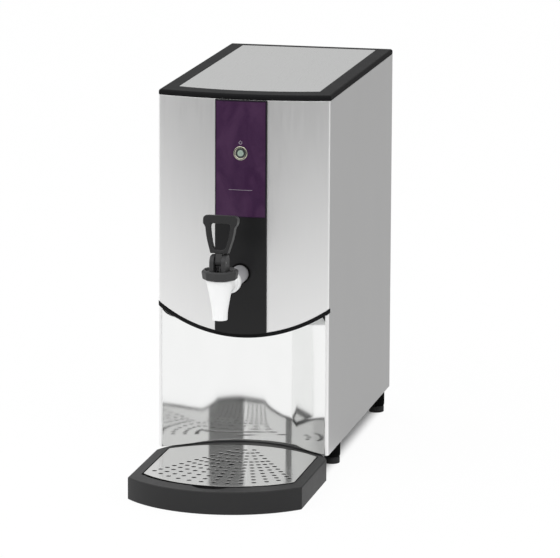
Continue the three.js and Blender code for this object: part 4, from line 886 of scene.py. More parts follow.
@dataclass(frozen=True)
class Hollow:
    """The hollow splash panel in plan: rolled in the middle, with flat ends."""

    half: float
    flange: float
    depth: float
    turn: float = 37.0

    @property
    def radius(self) -> float:
        """Radius of the rolled middle."""
        turn = radians(self.turn)
        fall = self.half * tan(turn) - self.depth + self.flange
        return fall / (1 / cos(turn) - 1)

    def line(self, grow: float, steps: int = 96, end: float | None = None) -> Outline:
        """The panel's line from left to right, grown by a margin, with its ends at one y."""
        radius = self.radius + grow
        centre = self.depth - self.radius
        end = self.flange if end is None else end
        turn = radians(self.turn)
        reach = (centre + radius / cos(turn) - end) / tan(turn)
        middle = arc(0.0, centre, radius, 90 + self.turn, 90 - self.turn, steps)
        return [(-reach, end), *middle, (reach, end)]


def standing(outline: Outline, y: Point2) -> Shape:
    """An outline seen from the front (x, z), running back between two values of y."""
    return Shape.loft([[(x, depth, z) for x, z in outline] for depth in y])


class Slot(Enum):
    """The record's finish slots."""

    BRUSHED = "brushed_steel"
    MIRROR = "mirror_steel"
    SATIN = "satin_steel"
    ZINC = "zinc"
    CHROME = "chrome"
    MOULDING = "black_moulding"
    GLOSS = "black_gloss"
    FILM = "purple_film"
    WHITE = "white_plastic"
    BUTTON = "button_plastic"
    LENS = "lens_plastic"
    RUBBER = "black_rubber"
    SILICONE = "silicone"
    FOAM = "foam"
    BOARD = "circuit_green"
    RED = "red_plastic"
    BRASS = "brass"
    COIL = "coil_plastic"
    CREAM = "cream_plastic"


USUAL_FINISHES: tuple[Finish, ...] = (
    BrushedSteel("brushed_steel", (0.93, 0.93, 0.922)),
    MirrorSteel("mirror_steel", (0.90, 0.905, 0.90)),
    BrushedSteel("satin_steel", (0.66, 0.67, 0.67), 0.4, Grain.LENGTHWISE),
    PlatedMetal("zinc", (0.24, 0.24, 0.26), 0.5),
    PlatedMetal("chrome", (0.66, 0.64, 0.52), 0.16),
    Moulding("black_moulding", (0.024, 0.024, 0.0245), 0.5, specular=0.2),
    Moulding("black_gloss", (0.007, 0.007, 0.0075), 0.3, 1400.0, 0.00001, 0.0, 0.06, 0.3),
    Moulding("white_plastic", (0.93, 0.945, 0.945), 0.32, 1800.0, 0.00001, 0.2, 0.05),
    Moulding("button_plastic", (0.016, 0.03, 0.022), 0.35, 1800.0, 0.00001, 0.3),
    Moulding("lens_plastic", (0.28, 0.36, 0.3), 0.22, 900.0, 0.00002, 0.6),
    SoftSkin("black_rubber", (0.002, 0.002, 0.002), 0.8),
    SoftSkin("silicone", (0.78, 0.77, 0.72), 0.45, 500.0, 0.00002, 0.25),
    SoftSkin("foam", (0.1, 0.1, 0.098), 0.95, 420.0, 0.0006),
    CircuitBoard("circuit_green", (0.012, 0.1, 0.038)),
    Moulding("red_plastic", (0.4, 0.02, 0.015), 0.35, 1800.0, 0.00001, 0.2),
    PlatedMetal("brass", (0.6, 0.42, 0.16), 0.28),
    Moulding("coil_plastic", (0.025, 0.045, 0.16), 0.45),
    Moulding("cream_plastic", (0.72, 0.66, 0.52), 0.5),
)
FINISHES = {Slot(finish.name): finish for finish in USUAL_FINISHES}
TRIM_BLACK = Moulding("trim_black", (0.008, 0.008, 0.0085), 0.6, specular=0.08)
LEVER_BLACK = Moulding("lever_black", (0.02, 0.02, 0.0205), 0.4, specular=0.3)
TAP_BLACK = Moulding("tap_black", (0.036, 0.036, 0.037), 0.5, specular=0.3)


class Stock:
    """The finishes, each built once, when it is first asked for."""

    def __init__(self) -> None:
        """Starts with none built."""
        self.made: dict[str, Material] = {}

    def take(self, finish: Finish | Slot) -> Material:
        """The material of a finish or of a slot's usual finish."""
        if isinstance(finish, Slot):
            finish = FINISHES[finish]
        if finish.name not in self.made:
            self.made[finish.name] = finish.material()
        return self.made[finish.name]

    def dress_node(self, node: Object, finish: Finish | Slot) -> None:
        """Gives a CAD node that stays in view its finish."""
        node.data.materials.clear()
        node.data.materials.append(self.take(finish))


@dataclass
class SubAssembly:
    """What every sub-assembly is given: the case's frame, the finishes and the front."""

    place: Place
    stock: Stock
    front: Front
    arch: Arch

    def begin(self, name: str, shape: Shape, closed: bool = True) -> Work:
        """Starts a piece."""
        return Work(name, shape, self.place, closed)

    def box(self, node: str) -> Box:
        """A node's box in the case's frame."""
        return self.place.box(node)

    def dress(
        self,
        work: Work,
        slot: Slot,
        *nodes: str,
        body: str = "case",
        sharp: float = 50.0,
        finish: Finish | None = None,
    ) -> Object:
        """Dresses a piece as ``Work.dress`` does, in its slot's usual finish or in its own."""
        return work.dress(self.stock.take(finish or slot), body, slot.value, *nodes, sharp=sharp)

    def bore(self, work: Work, node: str, low: float, high: float) -> None:
        """Cuts the round hole that a node passes through, between two distances forwards."""
        middle = self.box(node).middle
        hole = Shape.bar(HOLE_RADII[node], low, high).along_y()
        work.cut(hole.moved(x=middle.x, z=HOLE_HEIGHTS.get(node, middle.z)))

    def punch(
        self, work: Work, scales: Sequence[float], tools: Sequence[Object], thick: float, finish: Material
    ) -> None:
        """Grows a punched sheet on a piece's points.

        The scales are the holes' sizes as shares of the hole's outline. The tools are the
        sheet's outline and the hole's, and are removed after use.
        """
        sizes = work.object.data.attributes.new("hole", "FLOAT", "POINT")
        sizes.data.foreach_set("value", scales)
        punched_sheet().grow(work, Outline=tools[0], Hole=tools[1], Thickness=thick * MM, Finish=finish)
        for tool in tools:
            bpy.data.objects.remove(tool)

    def outline_object(self, name: str, outline: Outline, z: float, place: Place | None = None) -> Object:
        """A closed line of edges that a geometry tree reads as a curve."""
        mesh = bpy.data.meshes.new(name)
        count = len(outline)
        spot = place or self.place
        points = [spot.metres((x, y, z)) for x, y in outline]
        mesh.from_pydata(points, [(i, (i + 1) % count) for i in range(count)], [])
        return linked(name, mesh)


# ---- Case ----


@dataclass
class Casing(SubAssembly):
    """The folded sheet, the back panel, the splash panel and the black arch."""

    lip: float = 4.2
    flange: float = 14.0
    arch_proud: float = 0.4
    arch_wrap: float = 3.2
    arch_bead: float = 5.0
    splash_sheet: float = 1.0
    slot_half: float = 22.0
    slot_height: float = 4.5
    slot_pitch: float = 16.0
    slot_rows: int = 5
    slot_side: float = 30.0
    slot_drop: float = 64.0

    def build(self) -> None:
        """Makes the casing's pieces."""
        self.wrap()
        self.splash()
        self.band()
        self.back()

    @property
    def hollow(self) -> Hollow:
        """The splash panel's arc, from its box and the front's corners."""
        box = self.box("splash_panel")
        return Hollow(self.front.half - self.lip - GAP, box.low.y, box.high.y - self.splash_sheet)

    def wrap(self) -> None:
        """The one sheet that is the front, both sides and the rear flanges."""
        box = self.box("case_wrap")
        front, arch = self.front, self.arch
        lip = front.half - self.lip
        face = sorted([*front.face(), (-lip, front.at(-lip)), (lip, front.at(lip))], key=lambda p: p[0])
        inner = front.half - SHEET - self.flange
        notch_end = self.arch_wrap + GAP
        left = [(-inner, box.high.y), (-front.half, box.high.y), (-front.half, notch_end)]
        right = [(x * -1, y) for x, y in reversed(left)]
        path = [*left, *face, *right]
        rows = []
        for x, y in path:
            reach = min(abs(x), front.half)
            rows.append((x, y, arch.height(reach, -GAP), arch.height(reach, arch.band + GAP)))
        points: list[Point3] = []
        for x, y, under, over in rows:
            points += [(x, y, z) for z in (box.low.z, under, over, box.high.z)]
        faces = []
        for i in range(len(rows) - 1):
            middle_x = (path[i][0] + path[i + 1][0]) / 2
            middle_y = (path[i][1] + path[i + 1][1]) / 2
            bands = [0, 1, 2]
            if abs(middle_x) < lip and middle_y < notch_end:
                bands = [2]
            elif middle_y < notch_end:
                bands = [0, 2]
            for band in bands:
                low, next_low = i * 4 + band, (i + 1) * 4 + band
                faces.append((low, next_low, next_low + 1, low + 1))
        work = self.begin("case_sheet", Shape(points, faces), closed=False).thicken(SHEET)
        for node in ("button_bezel", "tap_shank"):
            self.bore(work, node, -4.0, -(front.at(0) - 2))
        work.soften(0.35)
        self.dress(work, Slot.BRUSHED, "case_wrap")

    def splash(self) -> None:
        """The polished hollow panel behind the cup space."""
        box = self.box("splash_panel")
        hollow = self.hollow
        line = [(box.low.x, box.low.y), *hollow.line(0.0), (box.high.x, box.low.y)]
        rows = [[(x, y, z) for z in (box.low.z, box.high.z)] for x, y in line]
        shape = Shape.loft(rows, caps=False, ring=False)
        work = self.begin("splash_sheet", shape, closed=False).thicken(self.splash_sheet)
        self.dress(work, Slot.MIRROR, "splash_panel", sharp=35)

    def band(self) -> None:
        """The black arch and, behind it, the steel soffit that reaches back to the splash panel."""
        front, arch, hollow = self.front, self.arch, self.hollow
        tip = front.half + self.arch_proud
        side = front.half - self.lip + 1 + GAP
        ledge = hollow.flange - GAP
        plan = [
            *front.face(self.arch_proud), (tip, self.arch_wrap), (side, self.arch_wrap), (side, ledge),
            *reversed(hollow.line(-GAP, 96, ledge)), (-side, ledge), (-side, self.arch_wrap),
            (-tip, self.arch_wrap),
        ]
        bead = front.face(-self.arch_bead)
        wide, ahead, behind = tip + 5, front.at(0) - 5, hollow.depth + 5
        split = [(-wide, bead[0][1]), *bead, (wide, bead[-1][1])]
        fore = [(-wide, ahead), (wide, ahead), *reversed(split)]
        rear = [*[(x, y + GAP) for x, y in split], (wide, behind), (-wide, behind)]
        band = [*arch.line(tip + 1, 0.0), *reversed(arch.line(tip + 1, arch.band))]
        low, high = arch.low - 5, arch.high + 12
        for name, zone, finish, slot in (
            ("arch_band", fore, TRIM_BLACK, Slot.MOULDING),
            ("arch_soffit", rear, None, Slot.SATIN),
        ):
            work = self.begin(name, Shape.prism(plan, low, high))
            work.combine("INTERSECT", [standing(band, (ahead + 1, behind - 3)), Shape.prism(zone, low, high)])
            work.soften(0.4)
            self.dress(work, slot, "smile_trim", finish=finish)

    def back(self) -> None:
        """The screwed back panel with its vent slots."""
        box = self.box("back_panel")
        flat = Place(0.0)
        half, low, high = box.high.x, box.low.z, box.high.z
        corners = [(-half, low), (half, low), (half, high), (-half, high)]
        ends = self.slot_height / 2
        reach = self.slot_half - ends
        slot = [*arc(reach, 0, ends, -90, 90, 8), *arc(-reach, 0, ends, 90, 270, 8)]
        centres = [
            (x, high - self.slot_drop + ends - row * self.slot_pitch, 0.0)
            for row in range(self.slot_rows)
            for x in (-self.slot_side, self.slot_side)
        ]
        work = Work("back_sheet", Shape(centres), flat, closed=False)
        outlines = {"outline": corners, "slot": slot}
        tools = [self.outline_object(name, line, 0.0, flat) for name, line in outlines.items()]
        self.punch(work, [1.0] * len(centres), tools, SHEET, self.stock.take(Slot.BRUSHED))
        rear = self.place.metres((0.0, box.high.y, 0.0))[1]
        work.object.data.transform(Matrix.Translation((0.0, rear, 0.0)) @ TO_FRONT)
        for node in ("inlet_valve", "cable_gland", "vent_pipe", "limit_thermostat"):
            self.bore(work, node, -box.high.y - 1, -box.low.y + 1)
        work.soften(0.3)
        self.dress(work, Slot.BRUSHED, "back_panel")


# ---- Top ----


@dataclass
class TopCover(SubAssembly):
    """The black moulding round the top and the steel plate let into it."""

    crown: float = 6.2
    edge: float = 3.0
    edge_steps: int = 6
    skirt_wall: float = 2.4
    ledge: float = 6.0

    def build(self) -> None:
        """Makes the moulding and the plate."""
        self.frame()
        self.plate()

    def lid_outline(self, grow: float) -> Outline:
        """The lid plate's outline, grown by a margin."""
        box = self.box("lid_plate")
        bow = Front(box.high.x, 14.0, 0.0).radius + grow
        half = box.high.x + grow
        centre = box.low.y - grow + bow
        rear = box.high.y + grow
        return [*chord_arc(centre, bow, half, 64), (half, rear), (-half, rear)]

    def frame(self) -> None:
        """The moulding: a rounded crown over a skirt that drops inside the sheet."""
        box = self.box("top_frame")
        top, low = box.high.z, box.high.z - self.crown
        rows = [[(x, y, low) for x, y in self.front.outline(0.0, box.high.y)]]
        rows += rounded_top(
            lambda inset: self.front.outline(inset, box.high.y - inset), top, self.edge, self.edge_steps
        )
        work = self.begin("top_moulding", Shape.loft(rows))
        inset = SHEET + GAP
        rear = box.high.y - SHEET - 2 * GAP
        skirt = Shape.prism(self.front.outline(inset, rear), box.low.z, low + 1)
        inset += self.skirt_wall
        inner = Shape.prism(self.front.outline(inset, rear - self.skirt_wall), box.low.z - 1, low + 2)
        work.join(skirt)
        lid = self.box("lid_plate")
        pocket = Shape.prism(self.lid_outline(GAP), lid.low.z - GAP, top + 1)
        opening = Shape.prism(self.lid_outline(-self.ledge), box.low.z - 1, top + 1)
        work.cut(inner, pocket, opening)
        work.soften(0.4, 2, 40.0)
        self.dress(work, Slot.MOULDING, "top_frame", finish=TRIM_BLACK)

    def plate(self) -> None:
        """The brushed plate, whose lines run from front to back."""
        box = self.box("lid_plate")
        work = self.begin("lid_sheet", Shape.prism(self.lid_outline(0.0), box.low.z, box.high.z))
        work.soften(0.45, 3, 40.0)
        finish = BrushedSteel("lid_steel", (0.56, 0.565, 0.56), 0.3, Grain.LENGTHWISE, 0.05, 0.03)
        self.dress(work, Slot.BRUSHED, "lid_plate", finish=finish)


# ---- Front strip ----


@dataclass
class FrontStrip(SubAssembly):
    """The black strip down the front, its film and the stand-by button."""

    overlay: float = 0.5
    bezel_edge: float = 0.8
    rule_height: float = 345.0
    rule_half: float = 14.0
    icon_rise: float = 12.5
    mark_thick: float = 0.06
    hole_reach: Point2 = (-10.0, 30.0)

    def build(self) -> None:
        """Makes the strip, the film, the button and the printed marks."""
        self.strip()
        self.film()
        self.button()
        self.marks()

    def above_arch(self, x: float) -> float:
        """Height of the strip's lower end, just above the arch."""
        return self.arch.height(x, self.arch.band + GAP)

    def slab(
        self, half: float, inner: float, outer: float, low: Callable[[float], float], top: float
    ) -> Shape:
        """A bowed slab between two distances from the front, with a shaped lower end."""
        rows = []
        for i in range(41):
            x = half * (2 * i / 40 - 1)
            near, far = self.front.at(x, outer), self.front.at(x, inner)
            rows.append([(x, near, low(x)), (x, near, top), (x, far, top), (x, far, low(x))])
        return Shape.loft(rows)

    def strip(self) -> None:
        """The black strip behind everything on the front."""
        box = self.box("fascia")
        outer = self.front.at(0) - box.low.y
        slab = self.slab(box.high.x, GAP, outer, self.above_arch, box.high.z)
        work = self.begin("front_strip", slab)
        for node in ("button_bezel", "tap_shank"):
            self.bore(work, node, *self.hole_reach)
        work.soften(0.5, 3, 40.0)
        self.dress(work, Slot.GLOSS, "fascia")

    def film(self) -> None:
        """The printed film on the upper strip."""
        box = self.box("fascia_overlay")
        outer = self.front.at(0) - box.low.y
        inner = outer - self.overlay
        slab = self.slab(box.high.x, inner, outer, lambda x: box.low.z, box.high.z)
        work = self.begin("strip_film", slab)
        self.bore(work, "button_bezel", *self.hole_reach)
        work.soften(0.2, 2, 40.0)
        finish = Film(
            "film",
            (0.032, 0.009, 0.038), (0.054, 0.02, 0.058), (0.014, 0.006, 0.018), (0.1, 0.055, 0.11),
            box.high.x,
            box.low.z,
            box.high.z,
        )
        self.dress(work, Slot.FILM, "fascia_overlay", finish=finish)

    def turned_piece(self, name: str, profile: Outline, node: str, sides: int = 64) -> Work:
        """A piece turned about the button's axis, from (radius, y) pairs."""
        height = self.box(node).middle.z
        shape = Shape.lathe([(r, -y) for r, y in profile], sides).turned(TO_FRONT)
        return self.begin(name, shape.moved(z=height))

    def button(self) -> None:
        """The plated ring, the cap in it and the clear lens."""
        ring = self.box("button_bezel")
        outer, edge = ring.high.x, self.bezel_edge
        inner = 6.0
        turns = [radians(90 - 15 * i) for i in range(7)]
        steps = [(outer - edge * (1 - cos(t)), ring.low.y + edge * (1 - sin(t))) for t in turns]
        profile = [(inner + 0.5, ring.low.y), *steps, (outer, ring.high.y)]
        profile += [(inner, ring.high.y), (inner, ring.low.y + 0.5)]
        work = self.turned_piece("stand_by_ring", profile, "button_bezel")
        self.dress(work, Slot.CHROME, "button_bezel", sharp=35)
        cap = self.box("power_button")
        lens = self.box("button_lens")
        seat = lens.high.x + GAP
        shaft, flange = inner - 0.4, inner + 0.8
        back = cap.high.y
        neck = ring.high.y + GAP
        profile = [
            (0.0, cap.low.y + 1.6), (seat, cap.low.y + 1.6), (seat, cap.low.y + 0.2),
            (seat + 0.2, cap.low.y), (shaft - 0.6, cap.low.y), (shaft - 0.18, cap.low.y + 0.18),
            (shaft, cap.low.y + 0.6), (shaft, neck), (flange, neck), (flange, back), (0.0, back),
        ]
        work = self.turned_piece("stand_by_cap", profile, "power_button", 56)
        self.dress(work, Slot.BUTTON, "power_button", body="power_button", sharp=40)
        reach, front, rear = lens.high.x, lens.low.y, lens.high.y
        dome = [(reach * sin(radians(a)), front + 0.5 * (1 - cos(radians(a)))) for a in range(0, 91, 15)]
        work = self.turned_piece("stand_by_lens", [*dome, (reach, rear), (0.0, rear)], "button_lens", 48)
        self.dress(work, Slot.LENS, "button_lens", body="power_button", sharp=40)

    def on_front(self, flat: Shape, proud: float) -> Shape:
        """Lays a shape of (x, distance out, z) points on the bow."""
        return Shape([(x, self.front.at(x, proud) - out, z) for x, out, z in flat.points], flat.faces)

    def marks(self) -> None:
        """Plain printed marks: a stand-by sign above the ring and a thin rule."""
        box = self.box("fascia_overlay")
        proud = self.front.at(0) - box.low.y
        thick = self.mark_thick
        height = self.box("button_bezel").middle.z + self.icon_rise
        half, step, line = self.rule_half, 24, 0.3
        rows = []
        for i in range(step + 1):
            x = half * (2 * i / step - 1)
            z = self.rule_height
            rows.append([(x, 0.0, z), (x, thick, z), (x, thick, z + line), (x, 0.0, z + line)])
        flat = Shape.loft(rows)
        outer, inner = 2.0, 1.55
        section = ((inner, 0.0), (inner, thick), (outer, thick), (outer, 0.0))
        rows = [
            [(r * cos(t), out, height + r * sin(t)) for r, out in section]
            for t in (radians(125 + 290 * i / 28) for i in range(29))
        ]
        flat.add(Shape.loft(rows))
        bar = line / 2
        flat.add(Shape.block((-bar, bar), (0.0, thick), (height + 0.7, height + 2.6)))
        work = self.begin("printed_marks", self.on_front(flat, proud))
        finish = Moulding("pale_print", (0.42, 0.38, 0.43), 0.5, 2600.0, 0.00001)
        self.dress(work, Slot.FILM, finish=finish)


# ---- Feet ----


@dataclass
class LevellingFeet(SubAssembly):
    """Four ribbed rubber sleeves with level pads that screw out of them."""

    sleeve_bore: float = 5.2
    stud: float = 4.8
    ribs: int = 18
    rib_width: float = 1.1
    rib_proud: float = 0.35
    top_wall: float = 2.0
    pad: float = 8.0
    thread_pitch: float = 1.5
    thread_depth: float = 0.5

    def build(self) -> None:
        """Makes the four feet."""
        tree = spread()
        for row in ("front", "rear"):
            for side in ("left", "right"):
                self.sleeve(f"{row}_{side}", tree)
                self.base(f"{row}_{side}")

    def sleeve(self, name: str, tree: Tree) -> None:
        """One sleeve, with its gripping ribs."""
        box = self.box(f"foot_sleeve_{name}")
        radius = box.high.x - box.middle.x - self.rib_proud
        low, high = box.low.z, box.high.z
        profile = [
            (self.sleeve_bore, low), (radius - 0.8, low), (radius, low + 0.8), (radius, high),
            (0.0, high), (0.0, high - self.top_wall), (self.sleeve_bore, high - self.top_wall),
        ]
        middle = box.middle
        core = Shape.lathe(profile, 54).moved(x=middle.x, y=middle.y)
        work = self.begin(f"foot_grip_{name}", core)
        rib_low, rib_high = low + 1.6, high - 1.6
        half = self.rib_width / 2
        foot = radius - 0.4
        ends = ((rib_low, 0.0), (rib_low + 0.8, self.rib_proud))
        ends += ((rib_high - 0.8, self.rib_proud), (rib_high, 0.0))
        rows = []
        for z, bulge in ends:
            out = radius + bulge
            rows.append([(foot, -half, z), (out, -half * 0.5, z), (out, half * 0.5, z), (foot, half, z)])
        copy = Work("rib", Shape.loft(rows), Place(0.0)).object
        spot = (middle.x, middle.y, 0.0)
        seeds = Work("ribs", Shape([spot] * self.ribs), self.place, closed=False)
        seeds.object.data.clear_geometry()
        seeds.object.data.from_pydata([self.place.metres(spot)] * self.ribs, [], [])
        turns = seeds.object.data.attributes.new("turn", "FLOAT", "POINT")
        turns.data.foreach_set("value", [2 * pi * i / self.ribs for i in range(self.ribs)])
        finish = self.stock.take(Slot.RUBBER)
        tree.grow(seeds, Copy=copy, Finish=finish)
        bpy.data.objects.remove(copy)
        self.merge(work, seeds)
        self.dress(work, Slot.RUBBER, f"foot_sleeve_{name}", sharp=35)

    def base(self, name: str) -> None:
        """One pad and its threaded stud."""
        box = self.box(f"foot_base_{name}")
        radius = box.high.x - box.middle.x
        top = box.high.z
        profile = [(0.0, 0.35), (radius - 2.6, 0.35), (radius - 2.2, 0.0)]
        profile += [(radius - 1.0, 0.0), (radius - 0.25, 0.3), (radius, 1.0)]
        profile += [ (radius, self.pad - 0.8), (radius - 0.8, self.pad), (self.stud, self.pad)]
        z = self.pad + 1.0
        while z + self.thread_pitch < top - 0.6:
            profile += [(self.stud, z), (self.stud - self.thread_depth, z + self.thread_pitch / 2)]
            z += self.thread_pitch
        profile += [(self.stud, z), (self.stud - 0.6, top), (0.0, top)]
        middle = box.middle
        work = self.begin(f"foot_pad_{name}", Shape.lathe(profile, 48).moved(x=middle.x, y=middle.y))
        self.dress(work, Slot.MOULDING, f"foot_base_{name}", body=f"foot_{name}", sharp=35)

    def merge(self, work: Work, other: Work) -> None:
        """Takes another piece's mesh into a piece."""
        made = bmesh.new()
        made.from_mesh(work.object.data)
        made.from_mesh(other.object.data)
        made.to_mesh(work.object.data)
        made.free()
        bpy.data.objects.remove(other.object)


# ---- Tap ----


@dataclass
class LeverTap(SubAssembly):
    """The white tap with its ten-sided bonnet, its loop handle and what is inside."""

    spout_wall: float = 2.3
    tip_radius: float = 8.8
    swell: tuple[Point2, ...] = ((9.3, 10.5), (11.9, 26.5))
    shoulder: float = 16.2
    neck_radius: float = 15.0
    neck_height: float = 6.4
    seat_rise: float = 15.1
    seat_thick: float = 2.0
    seat_radius: float = 4.6
    cup_radius: float = 7.4
    axis_rise: float = 16.5
    barrel: float = 9.6
    barrel_bore: float = 6.0
    collar: float = 12.6
    collar_length: float = 8.0
    collar_chamfer: float = 0.6
    bonnet_height: float = 11.0
    bonnet_sides: int = 10
    dish: float = 2.4
    cheek_inner: float = 4.3
    cheek_outer: float = 9.4
    cheek_round: float = 8.3
    pivot_ahead: float = 7.0
    pivot_rise: float = 9.4
    pin_radius: float = 1.5
    pin_chamfer: float = 0.3
    cross_pin: float = 1.2
    stem_radius: float = 1.8
    shank_bore: float = 5.5
    shank_tail: float = 8.0
    spring_radius: float = 4.6
    spring_wire: float = 0.7
    spring_turns: float = 5.0
    stem_lift: float = 5.69
    loop_side: tuple[Point2, ...] = (
        (10.2, 0.0), (11.6, 5.0), (14.6, 15.5), (16.2, 23.0), (17.2, 29.6), (19.6, 33.4), (20.2, 36.6),
    )
    window_side: tuple[Point2, ...] = (
        (3.5, 3.6), (6.6, 5.2), (8.6, 9.0), (10.6, 17.0),
        (11.9, 25.0), (12.4, 31.0), (11.2, 33.6), (9.5, 34.2),
    )
    handle_rise: float = 9.6
    handle_height: float = 43.6
    handle_setback: float = 6.5
    handle_lean: float = 9.0
    handle_depth: float = 12.6
    handle_corner: float = 5.0
    handle_edge: float = 1.7
    lever_angle: float = 40.0

    def build(self) -> None:
        """Makes the tap's pieces."""
        self.body()
        self.bonnet()
        self.handle()
        self.pins()
        self.valve()
        self.spring()
        self.shank()

    @property
    def axis(self) -> Point2:
        """The spout's centre in plan, from the body's box and its shoulder."""
        body = self.box("tap_body")
        return (0.0, body.low.y + self.shoulder)

    @property
    def tip(self) -> float:
        """Height of the spout's tip."""
        return self.box("tap_body").low.z

    @property
    def bore_height(self) -> float:
        """Height of the barrel's axis."""
        return self.tip + self.seat_rise + self.seat_thick + self.axis_rise

    @property
    def bonnet_top(self) -> float:
        """Height of the bonnet's rim."""
        return self.box("tap_bonnet").low.z + self.bonnet_height

    @property
    def pivot_height(self) -> float:
        """Height of the lever's pin."""
        return self.bonnet_top + self.pivot_rise

    def here(self, shape: Shape) -> Shape:
        """Moves a shape from the tap's own axis to its place."""
        return shape.moved(x=self.axis[0], y=self.axis[1])

    def across(self, radius: float, half: float, y: float, z: float, sides: int = 32) -> Shape:
        """A round bar along x, about the tap's axis."""
        return Shape.bar(radius, -half, half, sides).along_x().moved(y=y, z=z)

    def body(self) -> None:
        """The white spout and body with the barrel that leads back to the shank."""
        box = self.box("tap_body")
        tip, top = box.low.z, box.high.z
        shoulder = top - self.neck_height
        mouth, widest = self.tip_radius, self.shoulder
        profile = [(0.0, tip), (mouth - 0.5, tip), (mouth - 0.1, tip + 0.25), (mouth, tip + 0.8)]
        swell = [(radius, tip + rise) for radius, rise in self.swell]
        knots = [(mouth, tip + 0.8), *swell, (widest, shoulder - 1.0)]
        profile += self.smooth(knots, 8)[1:-1]
        profile += [(widest, shoulder - 1.0), (widest - 0.3, shoulder - 0.3)]
        profile += [(widest - 1.0, shoulder)]
        profile += [(self.neck_radius, shoulder), (self.neck_radius, top), (0.0, top)]
        work = self.begin("tap_spout", self.here(Shape.lathe(profile, 96)))
        length = box.high.y - self.axis[1]
        neck = Shape.bar(self.barrel, -length, -2.0, 72)
        collar = length - self.collar_length
        turned = chamfered(self.collar, -length, -collar, self.collar_chamfer)
        for shape in (neck, Shape.lathe(turned, 72)):
            work.join(self.here(shape.turned(TO_FRONT).moved(z=self.bore_height)))
        seat = tip + self.seat_rise
        seat_top = seat + self.seat_thick
        inner = self.tip_radius - self.spout_wall
        wide = self.neck_radius - self.spout_wall
        outlet = Shape.lathe([(0.0, tip - 1), (inner, tip - 1), (inner, seat), (0.0, seat)], 64)
        cone = [(0.0, seat_top), (self.cup_radius + 1.4, seat_top), (wide, shoulder)]
        chamber = Shape.lathe([*cone, (wide, top + 1), (0.0, top + 1)], 64)
        hole = Shape.bar(self.seat_radius, seat - 1, seat_top + 1)
        bore = Shape.bar(self.barrel_bore, -length - 1, -2.0, 48).turned(TO_FRONT).moved(z=self.bore_height)
        work.cut(*[self.here(s) for s in (outlet, chamber, hole, bore)])
        work.soften(0.35, 2, 40.0)
        self.dress(work, Slot.WHITE, "tap_body", sharp=35)

    def bonnet(self) -> None:
        """The ten-sided cap with its dished top and the fork that holds the lever."""
        box = self.box("tap_bonnet")
        low, top = box.low.z, self.bonnet_top
        corner = self.corner_radius(box)
        profile = [
            (0.0, low), (corner * 0.92, low), (corner * 0.95, low + 1.4), (corner, top - 2.0),
            (corner - 1.4, top), (0.0, top),
        ]
        work = self.begin("tap_cap", self.here(Shape.lathe(profile, self.bonnet_sides, 0.5)))
        work.soften(0.9, 3, 20.0)
        floor = top - self.dish
        dish = [(0.0, floor), (corner - 6.5, floor), (corner - 3.8, top + 0.1), (0.0, top + 0.1)]
        work.cut(self.here(Shape.lathe(dish, 80)))
        ahead, round_off, pivot = -self.pivot_ahead, self.cheek_round, self.pivot_height
        side = [
            (ahead - round_off, floor - 1), (round_off, floor - 1),
            *arc(0.0, pivot, round_off, 0, 90, 12), *arc(ahead, pivot, round_off, 90, 180, 12),
        ]
        for start, end in ((-self.cheek_outer, -self.cheek_inner), (self.cheek_inner, self.cheek_outer)):
            cheek = Work("cheek", crosswise(side, start, end), self.place)
            cheek.soften(0.8, 3, 50.0)
            work.join(self.here(self.as_shape(cheek)))
        hollow = Shape.bar(self.neck_radius + GAP, low - 1, self.box("tap_body").high.z + GAP, 64)
        stem = Shape.bar(self.stem_radius + 0.4, low, top, 32)
        pin = self.across(self.pin_radius + GAP, self.cheek_outer + 1, ahead, pivot)
        work.cut(*[self.here(shape) for shape in (hollow, stem, pin)])
        self.dress(work, Slot.MOULDING, "tap_bonnet", sharp=28, finish=TAP_BLACK)

    def corner_radius(self, box: Box) -> float:
        """Radius of the cap's corners, from its width across two of them."""
        half_side = radians(180 / self.bonnet_sides)
        reach = max(abs(cos(half_side * (2 * i + 1))) for i in range(self.bonnet_sides))
        return box.high.x / reach

    def as_shape(self, work: Work) -> Shape:
        """A finished helper piece as a shape in the case's frame, and the helper removed."""
        mesh = work.object.data
        back = self.place.back
        points = [(v.co.x / MM, v.co.y / MM - back, v.co.z / MM) for v in mesh.vertices]
        shape = Shape(points, [tuple(face.vertices) for face in mesh.polygons])
        bpy.data.objects.remove(work.object)
        return shape

    def smooth(self, side: Sequence[Point2], steps: int = 4) -> Outline:
        """A side's points joined by a soft curve through them."""
        made: Outline = [side[0]]
        for i in range(len(side) - 1):
            before, after = side[max(i - 1, 0)], side[min(i + 2, len(side) - 1)]
            made += curve_step(before, side[i], side[i + 1], after, steps)
        return made

    def leaning(self, side: Sequence[Point2], reach: float) -> Shape:
        """A plate alike on both sides of the middle, stood on the handle's foot and leaned back."""
        outline = [*side, *[(-half, rise) for half, rise in reversed(side)]]
        lean = Matrix.Rotation(-radians(self.handle_lean), 4, "X")
        foot = self.pivot_height + self.handle_rise
        plate = standing(outline, (-reach, reach)).turned(lean)
        return plate.moved(y=self.handle_setback - self.pivot_ahead, z=foot)

